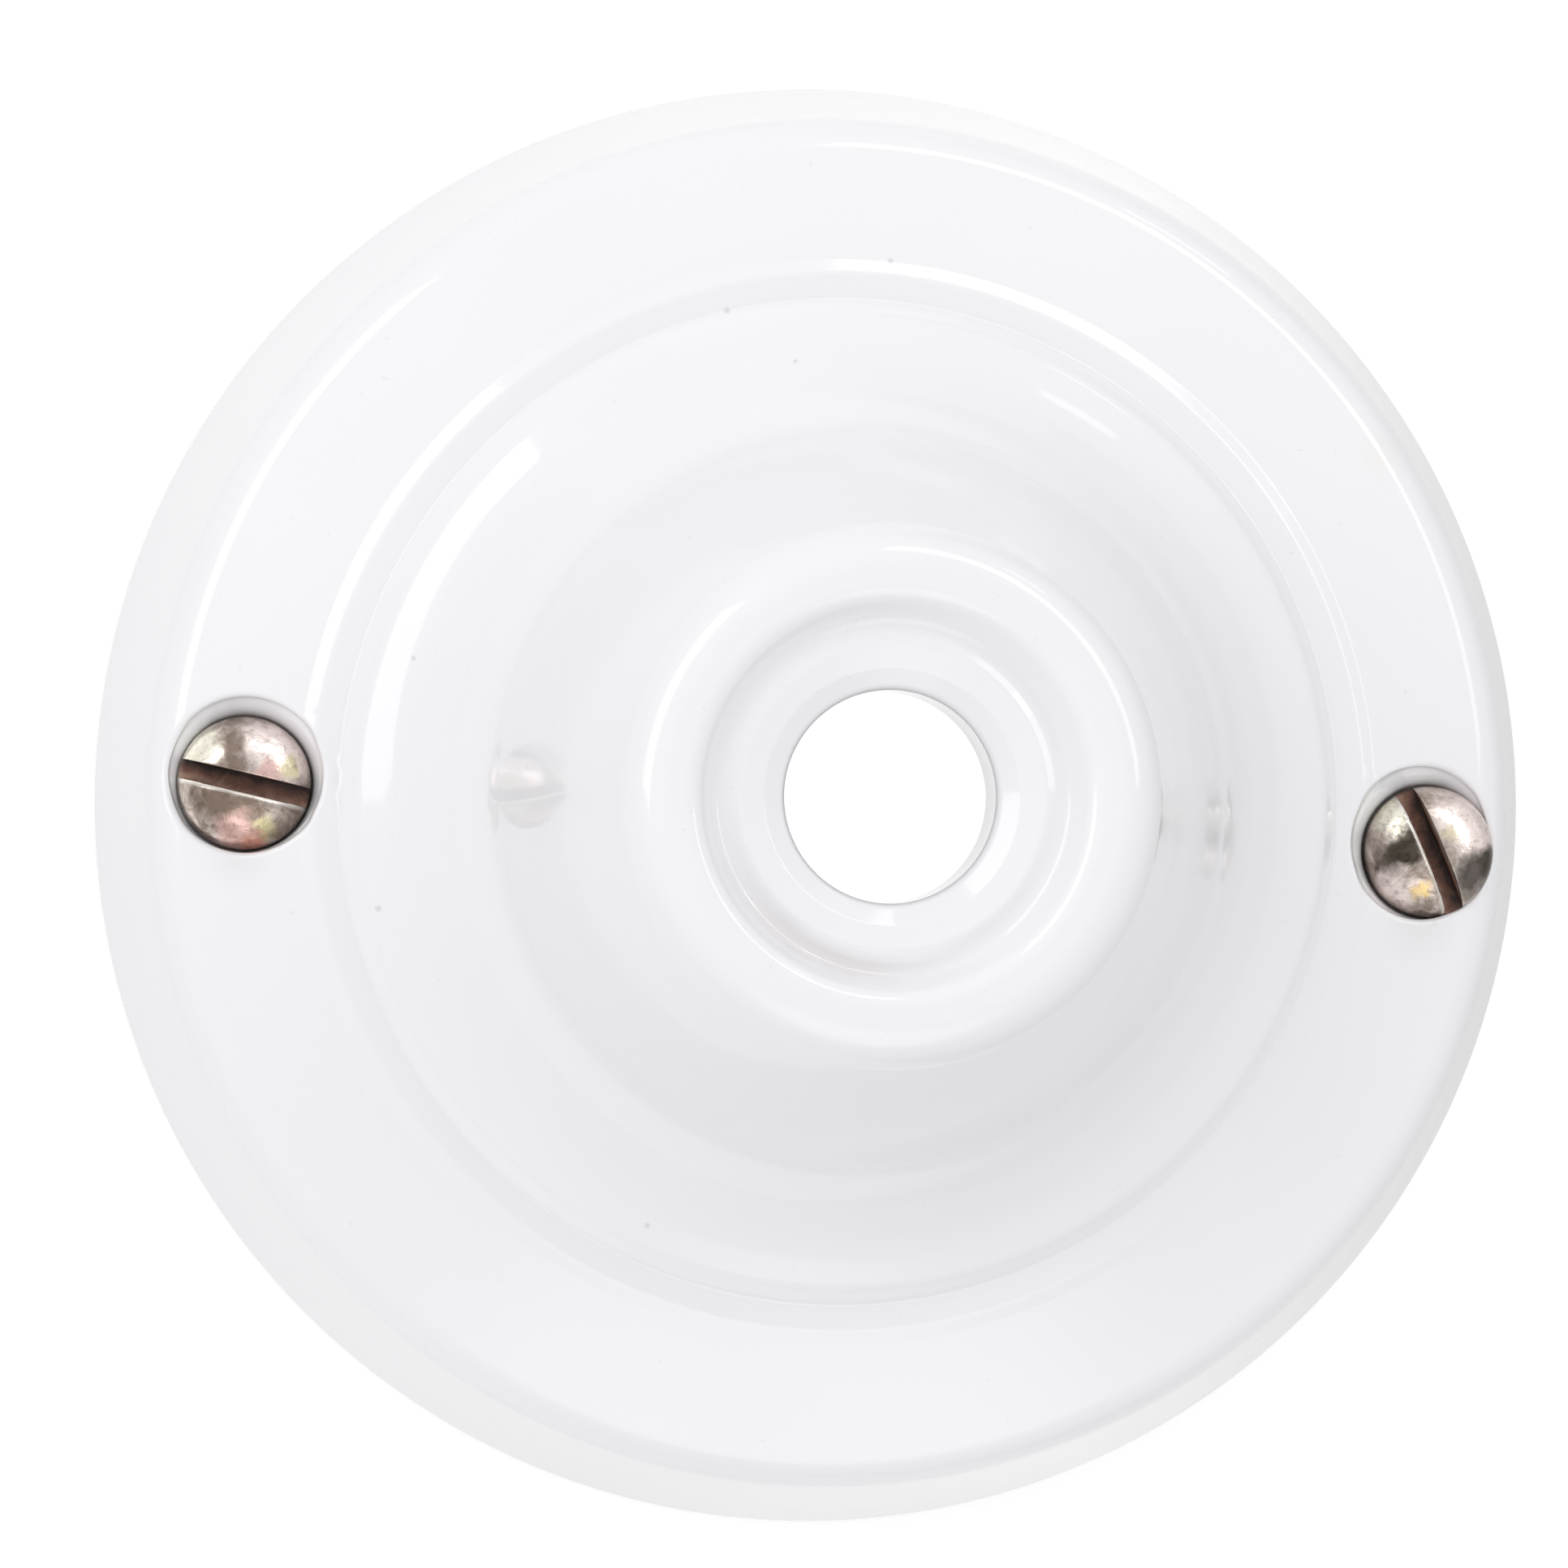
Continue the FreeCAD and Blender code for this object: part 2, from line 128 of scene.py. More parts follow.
# Dents of a head and grit in its slot: depth in mm, how many to the mm and layer of the noise
WIDE_DENT = 0.022
WIDE_DENTS_PER_MM = 0.9
FINE_DENT = 0.007
FINE_DENTS_PER_MM = 2.6
FINE_DENT_LAYER = 3.0
SLOT_GRIT = 0.03
SLOT_GRIT_PER_MM = (1.4, 4.0)
SLOT_GRIT_LAYER = 9.0
LEAST_SLOT = 0.001

# On the vertices: wear of the edges with a painted highlight, and painted shade in the slot, which deepens
# towards one wall
UNMARKED = (0.0, 0.0)
SLOT_LEAST_SHADE = 0.55
SHARP_LIP_WEAR_AND_SHINE = 0.2

# Rows of vertices across a head: on the slot's floor, its lips, the dome and near the head's edge
WORN_LIP = 0.30
SHARP_LIP = 0.08
LIP_DROP = 0.55
FLOOR_ROWS = (SLOT_HALF - 0.02, SLOT_HALF - 0.12, SLOT_HALF * 0.4)
LIP_SHARES = (0.0, 0.15, 0.35, 0.6, 0.85, 1.0)
DOME_ROWS = 20
DOME_START = 0.15
DOME_END = 0.36
EDGE_INSETS = (0.28, 0.18, 0.10, 0.048, 0.016)

# Shank and thread of the cover screws, in mm
SHANK_RADIUS = 1.95
THREAD_DEPTH = 0.24
THREAD_PITCH = 0.7
THREAD_RINGS = 10
THREAD_FADE_TIP = 0.6
THREAD_FADE_HEAD = 0.5
TIP_TAPER = 0.4
TIP_LENGTH = 0.5
HEAD_UNDERCUT = 0.1
HEAD_UNDERSIDE = 0.12

# Screw pockets of the cover, in mm
POCKETS = [(-35.95, -0.46), (36.05, -0.46)]
POCKET_RADIUS = 4.68
POCKET_FLOOR = 11.5
POCKET_HOLE = 2.9
POCKET_MOUTH = 0.34
MOUTH_SHARE = 0.42
MOUTH_STEPS = 6
POCKET_FILLET = 0.2
FILLET_SHARE = 0.35
FILLET_STEPS = 4
HEAD_ROOM = 0.07
SLOPE_REACH = 0.3
BOSS_RADIUS = 6.6
BOSS_BOTTOM = 7.8
BOSS_REACH = 40.2
HOLE_BREAK = 0.25
HOLE_BREAK_MIDDLE = 0.07

# Rings of vertices round a pocket, and how far the grid of the cover keeps from them
POCKET_SEGMENTS = 128
OUTER_RING = 5.45
MIDDLE_RING = 5.32
INNER_RING = 5.2
FLANGE_SHARES = (0.6, 0.25)
WALL_SHARES = (0.12, 0.25, 0.4, 0.55, 0.7, 0.85)
BOSS_SHARES = (0.3, 0.6, 0.85, 1.0)
CEILING_STEP = 0.02
CEILING_RING = 0.2
RING_ROOM = 0.3
STITCH_GAP = 1.2
SEARCH_REACH = BOSS_RADIUS + 2.0
LOWEST_CUT = 0.8
ON_AXIS = 0.1

# Colours on the plating of the screw heads: pink-white and cream are painted reflections of the lamps, the
# rest are tarnish and dark patches
PINK_WHITE = (1.0, 0.87, 0.83)
CREAM = (0.98, 0.94, 0.80)
PINK = (0.84, 0.53, 0.48)
STRAW = (0.74, 0.67, 0.36)
AMBER = (0.74, 0.53, 0.22)
RUST = (0.72, 0.36, 0.27)
DARK_BROWN = (0.23, 0.165, 0.13)
OLIVE_BLACK = (0.045, 0.038, 0.026)
DARK_GREY = (0.12, 0.105, 0.098)

# Patches in mm from the head's centre: x, y, size, colour and amount; the pink-white and cream ones are
# painted reflections of the lamps
HEAD_TARNISH_AND_REFLECTIONS = {
    "cover_screw_left": [
        (1.4, 2.3, 1.9, PINK_WHITE, 1.0), (2.7, 1.5, 1.3, PINK_WHITE, 1.0), (-2.8, 1.9, 1.3, CREAM, 1.0),
        (-0.95, 2.4, 0.8, DARK_BROWN, 0.9), (-0.7, 1.2, 0.7, DARK_BROWN, 0.9), (2.5, 1.1, 0.7, STRAW, 0.8),
        (1.3, 0.8, 0.7, PINK, 0.8), (-1.5, -1.1, 1.1, DARK_BROWN, 0.95), (0.2, -1.4, 1.0, DARK_BROWN, 0.8),
        (-0.4, -2.9, 1.1, PINK, 0.85), (1.3, -2.5, 0.7, STRAW, 0.8), (0.7, -3.6, 0.7, RUST, 0.85),
    ],
    "cover_screw_right": [
        (1.6, 2.2, 1.8, PINK_WHITE, 1.0), (2.5, 1.4, 1.4, PINK_WHITE, 1.0), (-2.6, 2.0, 1.2, CREAM, 1.0),
        (-1.8, -0.1, 1.0, OLIVE_BLACK, 1.0), (-1.7, 0.8, 0.6, OLIVE_BLACK, 0.9),
        (-2.6, -0.8, 0.8, OLIVE_BLACK, 0.8), (-2.2, -2.6, 1.4, PINK_WHITE, 0.8),
        (-0.6, -2.3, 0.6, AMBER, 0.9), (2.5, -1.2, 1.2, DARK_GREY, 1.0),
        (3.7, -0.4, 0.9, OLIVE_BLACK, 0.95), (0.9, 1.2, 0.5, STRAW, 0.6),
    ],
}

# Where a patch is full and where it ends, in shares of its size
PATCH_EDGES = (0.6, 1.35)

# Plating between the patches: cloudy greys, dark specks, worn edges with a painted highlight, and the brown
# floor of the slot under painted shade
PLATING = [(0.34, (0.22, 0.165, 0.135)), (0.46, (0.39, 0.32, 0.275)),
           (0.56, (0.56, 0.48, 0.425)), (0.68, (0.78, 0.68, 0.62))]
PLATING_SPECKS = (0.13, 0.095, 0.075)
# Bare metal of the worn lip, made brighter as a painted highlight
BARE_EDGE_AND_HIGHLIGHT = (0.93, 0.90, 0.84)
SLOT_ROUGHNESS = 0.35
SLOT_FLOOR_AND_SHADE = [(0.50, (0.30, 0.19, 0.14)), (0.72, (0.13, 0.060, 0.040)), (0.95, (0.020, 0.010, 0.008))]

# Glazes: the colour where the glaze is thin and where it is deep
COVER_GLAZE = ((0.835, 0.835, 0.855), (0.815, 0.815, 0.840))
BASE_GLAZE = ((0.74, 0.735, 0.715), (0.70, 0.695, 0.68))
GLAZE_SPECK = (0.45, 0.42, 0.40)
PIT_COLOUR = (0.36, 0.35, 0.35)
PIT_AMOUNT = 0.35

# Share of a pinhole's size and of a stain's ring within which they are full
FULL_SHARE = 0.3

# Pinholes in the cover's glaze, in mm: x, y and size
GLAZE_PITS = [(-8.6, 29.1, 0.26), (-4.6, 26.1, 0.18), (1.2, 32.8, 0.24), (-27.6, -8.0, 0.26),
              (-10.5, -26.0, 0.24), (-26.4, 7.0, 0.20)]

# Stains and painted shade on the glaze, in mm: x, y, full and last reach, radius and width of its ring, then
# colour and amount
GLAZE_STAINS_AND_SHADE = [
    # The groove round the hole: a brownish stain at its lower left, and painted shade along its lower side
    (-6.4, -7.6, 1.0, 8.0, 9.9, 1.2, (0.42, 0.34, 0.30), 0.20),
    (-1.5, -9.8, 1.0, 6.5, 9.9, 1.0, (0.45, 0.38, 0.35), 0.20),
    # Painted contact shadow on the flange below each screw head
    (-35.9, -5.5, 0.4, 2.2, 36.3, 9.0, (0.50, 0.44, 0.40), 0.13),
    (36.0, -5.5, 0.4, 2.6, 36.4, 9.0, (0.50, 0.44, 0.40), 0.15),
    (32.2, 23.1, 0.2, 1.6, 39.6, 9.0, (0.80, 0.72, 0.52), 0.16),
]

# Metals inside: dark colour, bright colour and roughness
TURNED_BRASS = ((0.52, 0.36, 0.15), (0.78, 0.60, 0.30), 0.30)
SCREW_BRASS = ((0.46, 0.33, 0.16), (0.72, 0.56, 0.30), 0.34)
ZINC_PLATE = ((0.42, 0.43, 0.45), (0.66, 0.67, 0.69), 0.36)
RED_FIBRE = [(0.3, (0.20, 0.050, 0.035)), (0.7, (0.34, 0.10, 0.065))]

# Edges of the CAD pieces
WELD_REACH = 0.002
BEVEL_SEGMENTS = 2
BEVEL_ANGLE = math.radians(38)

# World: a little brighter towards the upper left of the picture, with a soft glow above its lower side
BRIGHT_SIDE = (-0.42, 0.90, 0.10)
WORLD_LEVEL = 0.83
WORLD_CONTRAST = 0.12
FRONT_GLOW = (0.10, -0.62, 0.78)
FRONT_GLOW_LEVEL = 0.85
FRONT_GLOW_ANGLES = (math.radians(24), math.radians(8))

# Floor, in mm: it shines more near the axis, under the part, and its mirror image darkens to the right
FLOOR_SIZE = 3000.0
FLOOR_DROP = 0.05
FLOOR_GREYS = [(0.0, (0.44, 0.44, 0.44)), (1.0, (0.46, 0.46, 0.46))]
MIRRORED_FLOOR = (0.97, 0.25)
MIRRORED_SPAN = (20.0, 60.0)
UNDER_LEVELS = (1.0, 0.62)
UNDER_SPAN = (30.0, 38.0)

# Lamps, in m and degrees: azimuth, elevation, width, height, radiance and whether the glaze mirrors them
LAMP_DISTANCE = 0.8
LAMP_TARGET = Vector((0.0, 0.0, 0.02))
LAMPS = {
    "left_box": (154, 45, 0.62, 0.26, 1.65, True),
    "right_box_1": (22, 40, 0.33, 0.14, 1.8, True),
    "right_box_2": (46, 40, 0.33, 0.14, 1.8, True),
    "right_box_3": (70, 40, 0.33, 0.14, 1.8, True),
    "small_lamp": (56, 23, 0.13, 0.08, 1.5, True),
    "fill_left": (188, 11, 0.5, 0.24, 1.2, False),
    "fill_top": (110, 11, 0.5, 0.24, 1.2, False),
    "fill_bottom": (266, 11, 0.5, 0.24, 1.35, False),
}


# Outlines
def turn_between(a, b):
    """Angle from one direction to another, positive to the left."""
    return math.atan2(a.x * b.y - a.y * b.x, a.dot(b))


def turned(vector, angle):
    """A vector turned to the left by an angle."""
    return Vector((vector.x * math.cos(angle) - vector.y * math.sin(angle),
                   vector.x * math.sin(angle) + vector.y * math.cos(angle)))


def rounded_loop(corners, arc_step, line_step):
    """Points and outward normals of a closed outline whose corners are rounded."""
    arcs = []
    count = len(corners)
    for index, (radius, height, rounding) in enumerate(corners):
        corner = Vector((radius, height))
        incoming = (corner - Vector(corners[index - 1][:2])).normalized()
        outgoing = (Vector(corners[(index + 1) % count][:2]) - corner).normalized()
        turn = turn_between(incoming, outgoing)
        reach = rounding * math.tan(abs(turn) / 2)
        start = corner - incoming * reach
        normal = Vector((incoming.y, -incoming.x))
        inward = turned(incoming, math.copysign(math.pi / 2, turn))
        centre = start + inward * rounding
        steps = max(LEAST_ARC_STEPS, math.ceil(abs(turn) / arc_step))
        arc = []
        for step in range(steps + 1):
            angle = turn * step / steps
            arc.append((centre + turned(start - centre, angle), turned(normal, angle)))
        arcs.append(arc)
    points = []
    for index, arc in enumerate(arcs):
        points += arc
        end, normal = arc[-1]
        following = arcs[(index + 1) % count][0][0]
        length = (following - end).length
        steps = max(1, math.ceil(length / line_step))
        points += [(end.lerp(following, step / steps), normal) for step in range(1, steps)]
    return points


def inset_corner(before, corner, after):
    """Where the two sides of a corner meet once both have moved in by the cover's wall."""
    sides = []
    for start, end in ((before[:2], corner[:2]), (corner[:2], after[:2])):
        run = Vector(end) - Vector(start)
        inward = Vector((-run.y, run.x)).normalized() * COVER_WALL
        sides.append((Vector(start) + inward, run))
    (a, u), (b, v) = sides
    along = ((b.x - a.x) * v.y - (b.y - a.y) * v.x) / (u.x * v.y - u.y * v.x)
    return tuple(a + u * along)


def radius_at(start, end, height):
    """Radius where the line through two corners passes a height."""
    return start[0] + (end[0] - start[0]) * (height - start[1]) / (end[1] - start[1])


def cavity_corners():
    """Corners of the cover's inside, from the throat down to the rim."""
    outer = [RIM_FOOT, RIM, SHOULDER, FLANGE_EDGE, VALLEY, DOME_FOOT, WAIST, COLLAR, COLLAR_INSIDE]
    inner = [inset_corner(*corners) for corners in zip(outer, outer[1:], outer[2:])]
    rim, shoulder, flange, valley, foot, waist, collar = inner
    return [
        (radius_at(waist, collar, THROAT_HEIGHT), THROAT_HEIGHT, CAVITY_ROUNDING),
        (*waist, WAIST_ROUNDING),
        *((*corner, CAVITY_ROUNDING) for corner in (foot, valley, flange, shoulder)),
        (radius_at(rim, shoulder, 0.0), 0.0, INNER_RIM_ROUNDING),
    ]


COVER_LOOP = COVER_OUTSIDE + cavity_corners()
FINE_LOOP = rounded_loop(COVER_LOOP, *TABLE_STEPS)


def height_table(radii, outside):
    """Radius, height and normal of the cover's outer or inner side, as arrays by rising radius."""
    low, high = radii
    rows = []
    for point, normal in FINE_LOOP:
        is_outside = normal.y > OUTSIDE_RISE
        if is_outside == outside and low < point.x < high and point.y > RIM_BAND:
            rows.append((point.x, point.y, normal.x, normal.y))
    return np.array(sorted(rows)).T


OUTER_TABLE = height_table(OUTER_TABLE_RADII, True)
INNER_TABLE = height_table(INNER_TABLE_RADII, False)


def side_at(table, radius):
    """Height and the two parts of the normal, across and up, at a radius."""
    height, across, up = (float(np.interp(radius, table[0], table[row])) for row in (1, 2, 3))
    return height, across, up


def surface_point(table, x, y):
    """Point and normal of the cover's outer or inner side at a place."""
    radius = math.hypot(x, y)
    height, across, up = side_at(table, radius)
    return (x, y, height), (across * x / radius, across * y / radius, up)


# Meshes
def scene_object(name, data):
    """Adds an object to the scene."""
    item = bpy.data.objects.new(name, data)
    bpy.context.scene.collection.objects.link(item)
    return item


class Shell:
    """Collects vertices with the normals that they should shade with, and faces."""

    def __init__(self):
        self.points = []
        self.normals = []
        self.faces = []

    def add(self, point, normal=None):
        self.points.append(Vector(point))
        self.normals.append(Vector(normal) if normal is not None else Vector((0.0, 0.0, 0.0)))
        return len(self.points) - 1

    def bridge(self, first, second):
        """Quads between two rings of the same length."""
        count = len(first)
        for index in range(count):
            following = (index + 1) % count
            self.faces.append((first[index], first[following], second[following], second[index]))


def fill_mesh(mesh, shell, layers):
    """Adds a shell in mm to a bmesh; each of its layers comes with the value for every vertex."""
    vertices = []
    for index, point in enumerate(shell.points):
        vertex = mesh.verts.new(point * MM)
        for layer, values in layers:
            vertex[layer] = values[index]
        vertices.append(vertex)
    for face in shell.faces:
        mesh.faces.new([vertices[index] for index in face])


def smooth_piece(name, mesh):
    """Turns a bmesh into a smooth object of the scene and frees it."""
    bmesh.ops.recalc_face_normals(mesh, faces=mesh.faces)
    data = bpy.data.meshes.new(name)
    mesh.to_mesh(data)
    mesh.free()
    data.shade_smooth()
    return scene_object(name, data)


def shell_object(name, shell):
    """An object that shades with the shell's normals, without loose or doubled vertices."""
    mesh = bmesh.new()
    fill_mesh(mesh, shell, [(mesh.verts.layers.float_vector.new("given_normal"), shell.normals)])
    bmesh.ops.delete(mesh, geom=[v for v in mesh.verts if not v.link_faces], context="VERTS")
    bmesh.ops.remove_doubles(mesh, verts=mesh.verts, dist=COVER_MERGE)
    bmesh.ops.dissolve_degenerate(mesh, edges=mesh.edges, dist=LEAST_EDGE)
    piece = smooth_piece(name, mesh)
    data = piece.data
    normals = []
    for vertex, given in zip(data.vertices, data.attributes["given_normal"].data):
        wanted = Vector(given.vector)
        normals.append(wanted.normalized() if wanted.length > LEAST_NORMAL else Vector(vertex.normal))
    data.normals_split_custom_set_from_vertices(normals)
    data.attributes.remove(data.attributes["given_normal"])
    return piece


def worn_and_shaded_object(name, shell, wear_and_shade):
    """An object that is sharp at steep edges, with the wear and painted highlight of its edges and the
    painted shade of its slot on the vertices.
    """
    edge_wear_and_shine, slot_shade = zip(*(wear_and_shade.get(index, UNMARKED) for index in range(len(shell.points))))
    mesh = bmesh.new()
    edge_layer = mesh.verts.layers.float.new("edge")
    slot_layer = mesh.verts.layers.float.new("slot")
    fill_mesh(mesh, shell, [(edge_layer, edge_wear_and_shine), (slot_layer, slot_shade)])
    bmesh.ops.remove_doubles(mesh, verts=mesh.verts, dist=SCREW_MERGE)
    piece = smooth_piece(name, mesh)
    piece.data.set_sharp_from_angle(angle=SHARP_ANGLE)
    return piece


# Cover
def head_place(node):
    """Middle of a cover screw's head, from its box, which ends at the head's edge on the +X side."""
    low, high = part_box(node)
    return in_mm(high.x) - HEAD_RADIUS, in_mm((low.y + high.y) / 2)


def boss_edge(centre, direction):
    """How far the boss reaches from the pocket's axis before the skirt's inside takes over."""
    along = centre[0] * direction[0] + centre[1] * direction[1]
    beyond = BOSS_REACH ** 2 - centre[0] ** 2 - centre[1] ** 2
    return min(BOSS_RADIUS, -along + math.sqrt(along ** 2 + beyond))


class Pocket:
    """One screw pocket, as rings that hold one vertex for each direction round its axis."""

    def __init__(self, shell, centre, head):
        self.shell = shell
        self.centre = centre
        self.head = head
        turns = [2 * math.pi * k / POCKET_SEGMENTS for k in range(POCKET_SEGMENTS)]
        self.directions = [(math.cos(turn), math.sin(turn)) for turn in turns]

    def place(self, rho, direction):
        """Where a reach from the axis ends."""
        return self.centre[0] + rho * direction[0], self.centre[1] + rho * direction[1]

    def height(self, table, rho, direction):
        """Height of the cover's outer or inner side at a reach from the axis."""
        return side_at(table, math.hypot(*self.place(rho, direction)))[0]

    def ring(self, entries):
        """A ring from one (reach, height) for each direction."""
        return [self.shell.add((*self.place(rho, d), height))
                for (rho, height), d in zip(entries, self.directions)]

    def side_ring(self, table, reaches, top=math.inf):
        """A ring on one side of the cover, no higher than a limit, that shades by its own faces."""
        return self.ring([(rho, min(top, self.height(table, rho, d)))
                          for rho, d in zip(reaches, self.directions)])

    def surface_ring(self, table, reaches):
        """A ring on one side of the cover that shades as that side does."""
        placed = [surface_point(table, *self.place(rho, d)) for rho, d in zip(reaches, self.directions)]
        return [self.shell.add(point, normal) for point, normal in placed]

    def wall_foot(self, direction):
        """How far the wall stands from the axis at the bottom, close round the screw's head."""
        offset = Vector((self.head[0] - self.centre[0], self.head[1] - self.centre[1]))
        along = offset.dot(Vector(direction))
        edge = along + math.sqrt(HEAD_RADIUS ** 2 - offset.length_squared + along ** 2)
        return min(edge + HEAD_ROOM, POCKET_RADIUS)

    def wall_height(self, direction):
        """How far the pocket's floor lies below the flange."""
        return self.height(OUTER_TABLE, POCKET_RADIUS, direction) - POCKET_FLOOR

    def mouth_profile(self, direction):
        """Rounding from the flange into the wall, as (reach, height)."""
        reach = min(POCKET_MOUTH, MOUTH_SHARE * self.wall_height(direction))
        beyond = self.height(OUTER_TABLE, POCKET_RADIUS + SLOPE_REACH, direction)
        slope = (beyond - self.height(OUTER_TABLE, POCKET_RADIUS, direction)) / SLOPE_REACH
        lean = math.atan(slope)
        turn = math.pi / 2 + lean
        mouth = reach / math.tan(turn / 2)
        profile = []
        for step in range(MOUTH_STEPS + 1):
            angle = turn * step / MOUTH_STEPS
            along = reach - mouth * math.sin(angle)
            below = mouth * (1 - math.cos(angle))
            rho = POCKET_RADIUS + along * math.cos(lean) + below * math.sin(lean)
            drop = along * math.sin(lean) - below * math.cos(lean)
            flat = slope * (rho - POCKET_RADIUS)
            profile.append((rho, self.height(OUTER_TABLE, rho, direction) + drop - flat))
        return profile

    def mouth_rings(self, profiles):
        """From the flange over the rounded edge."""
        rings = [self.surface_ring(OUTER_TABLE, [rho] * POCKET_SEGMENTS)
                 for rho in (OUTER_RING, MIDDLE_RING, INNER_RING)]
        for share in FLANGE_SHARES:
            reaches = [profile[0][0] + (INNER_RING - profile[0][0]) * share for profile in profiles]
            rings.append(self.side_ring(OUTER_TABLE, reaches))
        return rings + [self.ring(entries) for entries in zip(*profiles)]

    def wall_rings(self, profiles):
        """Down the wall, which leans in towards the head, and round the fillet at its foot."""
        feet = [self.wall_foot(d) for d in self.directions]
        fillets = [min(POCKET_FILLET, FILLET_SHARE * self.wall_height(d)) for d in self.directions]
        rings = []
        for share in WALL_SHARES:
            lean_in = math.sin(math.pi / 2 * share)
            entries = []
            for profile, foot, fillet in zip(profiles, feet, fillets):
                low = profile[-1][1]
                entries.append((POCKET_RADIUS + (foot - POCKET_RADIUS) * lean_in,
                                low + (POCKET_FLOOR + fillet - low) * share))
            rings.append(self.ring(entries))
        for step in range(FILLET_STEPS + 1):
            angle = math.pi / 2 * step / FILLET_STEPS
            inward, upward = 1 - math.cos(angle), 1 - math.sin(angle)
            rings.append(self.ring([(foot - fillet * inward, POCKET_FLOOR + fillet * upward)
                                    for foot, fillet in zip(feet, fillets)]))
        return rings

    def hole_rings(self):
        """Over the floor and down the hole, with broken edges."""
        wide, middle = POCKET_HOLE + HOLE_BREAK, POCKET_HOLE + HOLE_BREAK_MIDDLE
        entries = [(wide, POCKET_FLOOR), (middle, POCKET_FLOOR - HOLE_BREAK_MIDDLE),
                   (POCKET_HOLE, POCKET_FLOOR - HOLE_BREAK), (POCKET_HOLE, BOSS_BOTTOM + HOLE_BREAK),
                   (middle, BOSS_BOTTOM + HOLE_BREAK_MIDDLE), (wide, BOSS_BOTTOM)]
        return [self.ring([entry] * POCKET_SEGMENTS) for entry in entries]

    def boss_rings(self):
        """Under the boss and back to the cavity's ceiling."""
        edges = [boss_edge(self.centre, d) for d in self.directions]
        start = POCKET_HOLE + HOLE_BREAK
        rings = []
        for share in BOSS_SHARES:
            reaches = [start + (edge - start) * share for edge in edges]
            rings.append(self.side_ring(INNER_TABLE, reaches, BOSS_BOTTOM))
        rings.append(self.side_ring(INNER_TABLE, [edge + CEILING_STEP for edge in edges]))
        rings.append(self.surface_ring(INNER_TABLE, [edge + CEILING_RING for edge in edges]))
        return rings

    def build(self):
        """Adds the pocket to the shell and returns its first ring on the flange and its last inside."""
        profiles = [self.mouth_profile(d) for d in self.directions]
        rings = self.mouth_rings(profiles) + self.wall_rings(profiles)
        rings += self.hole_rings() + self.boss_rings()
        for first, second in zip(rings, rings[1:]):
            self.shell.bridge(second, first)
        return rings[0], rings[-1]


def ring_reach(centre, direction, outside):
    """How far the pocket's own rings reach from its axis, on the flange or on the cavity's ceiling."""
    return OUTER_RING if outside else boss_edge(centre, direction) + CEILING_RING


def clear_of_rings(point, centre, outside):
    """Whether a vertex of the grid keeps its place between the grid's hole and the pocket's rings."""
    away = Vector((point.x - centre[0], point.y - centre[1]))
    return away.length > ring_reach(centre, away.normalized(), outside) + RING_ROOM


def near_pocket(point, centre, outside):
    """Whether a grid vertex lies where the pocket's rings and the stitching round them go."""
    away = Vector((point.x - centre[0], point.y - centre[1]))
    rho = away.length
    if rho > SEARCH_REACH or point.z < LOWEST_CUT:
        return False
    return rho < ON_AXIS or rho < ring_reach(centre, away / rho, outside) + STITCH_GAP


def boundary_loop(cut_faces, kept_faces):
    """Vertices round the hole that the cut faces leave, in order."""
    cut_edges = {frozenset(pair) for face in cut_faces for pair in zip(face, face[1:] + face[:1])}
    steps = {}
    for face in kept_faces:
        for a, b in zip(face, face[1:] + face[:1]):
            if frozenset((a, b)) in cut_edges:
                steps[a] = b
    start = next(iter(steps))
    loop = [start]
    while steps[loop[-1]] != start:
        loop.append(steps[loop[-1]])
    return loop


def inside_polygon(x, y, polygon):
    """Whether a place lies inside a polygon, by how many of its sides a ray to the right crosses."""
    inside = False
    for (ax, ay), (bx, by) in zip(polygon, polygon[1:] + polygon[:1]):
        if (ay > y) != (by > y) and x < (bx - ax) * (y - ay) / (by - ay) + ax:
            inside = not inside
    return inside


def stitch(shell, loop, ring, between, upward):
    """Triangles between a loop of grid vertices and a ring inside it, over the vertices between them."""
    members = loop + ring + between
    flat = [shell.points[index].xy for index in members]
    edges = [(k, (k + 1) % len(loop)) for k in range(len(loop))]
    edges += [(len(loop) + k, len(loop) + (k + 1) % len(ring)) for k in range(len(ring))]
    result = geometry.delaunay_2d_cdt(flat, edges, [], 0, STITCH_TOLERANCE)
    faces, origins = result[2], result[3]
    outer = [tuple(shell.points[index].xy) for index in loop]
    inner = [tuple(shell.points[index].xy) for index in ring]
    for face in faces:
        corners = [origins[k][0] for k in face]
        x = sum(flat[k].x for k in corners) / 3
        y = sum(flat[k].y for k in corners) / 3
        if not inside_polygon(x, y, outer) or inside_polygon(x, y, inner):
            continue
        a, b, c = (flat[k] for k in corners)
        counter = (b - a).cross(c - a) > 0
        if counter != upward:
            corners.reverse()
        shell.faces.append(tuple(members[k] for k in corners))


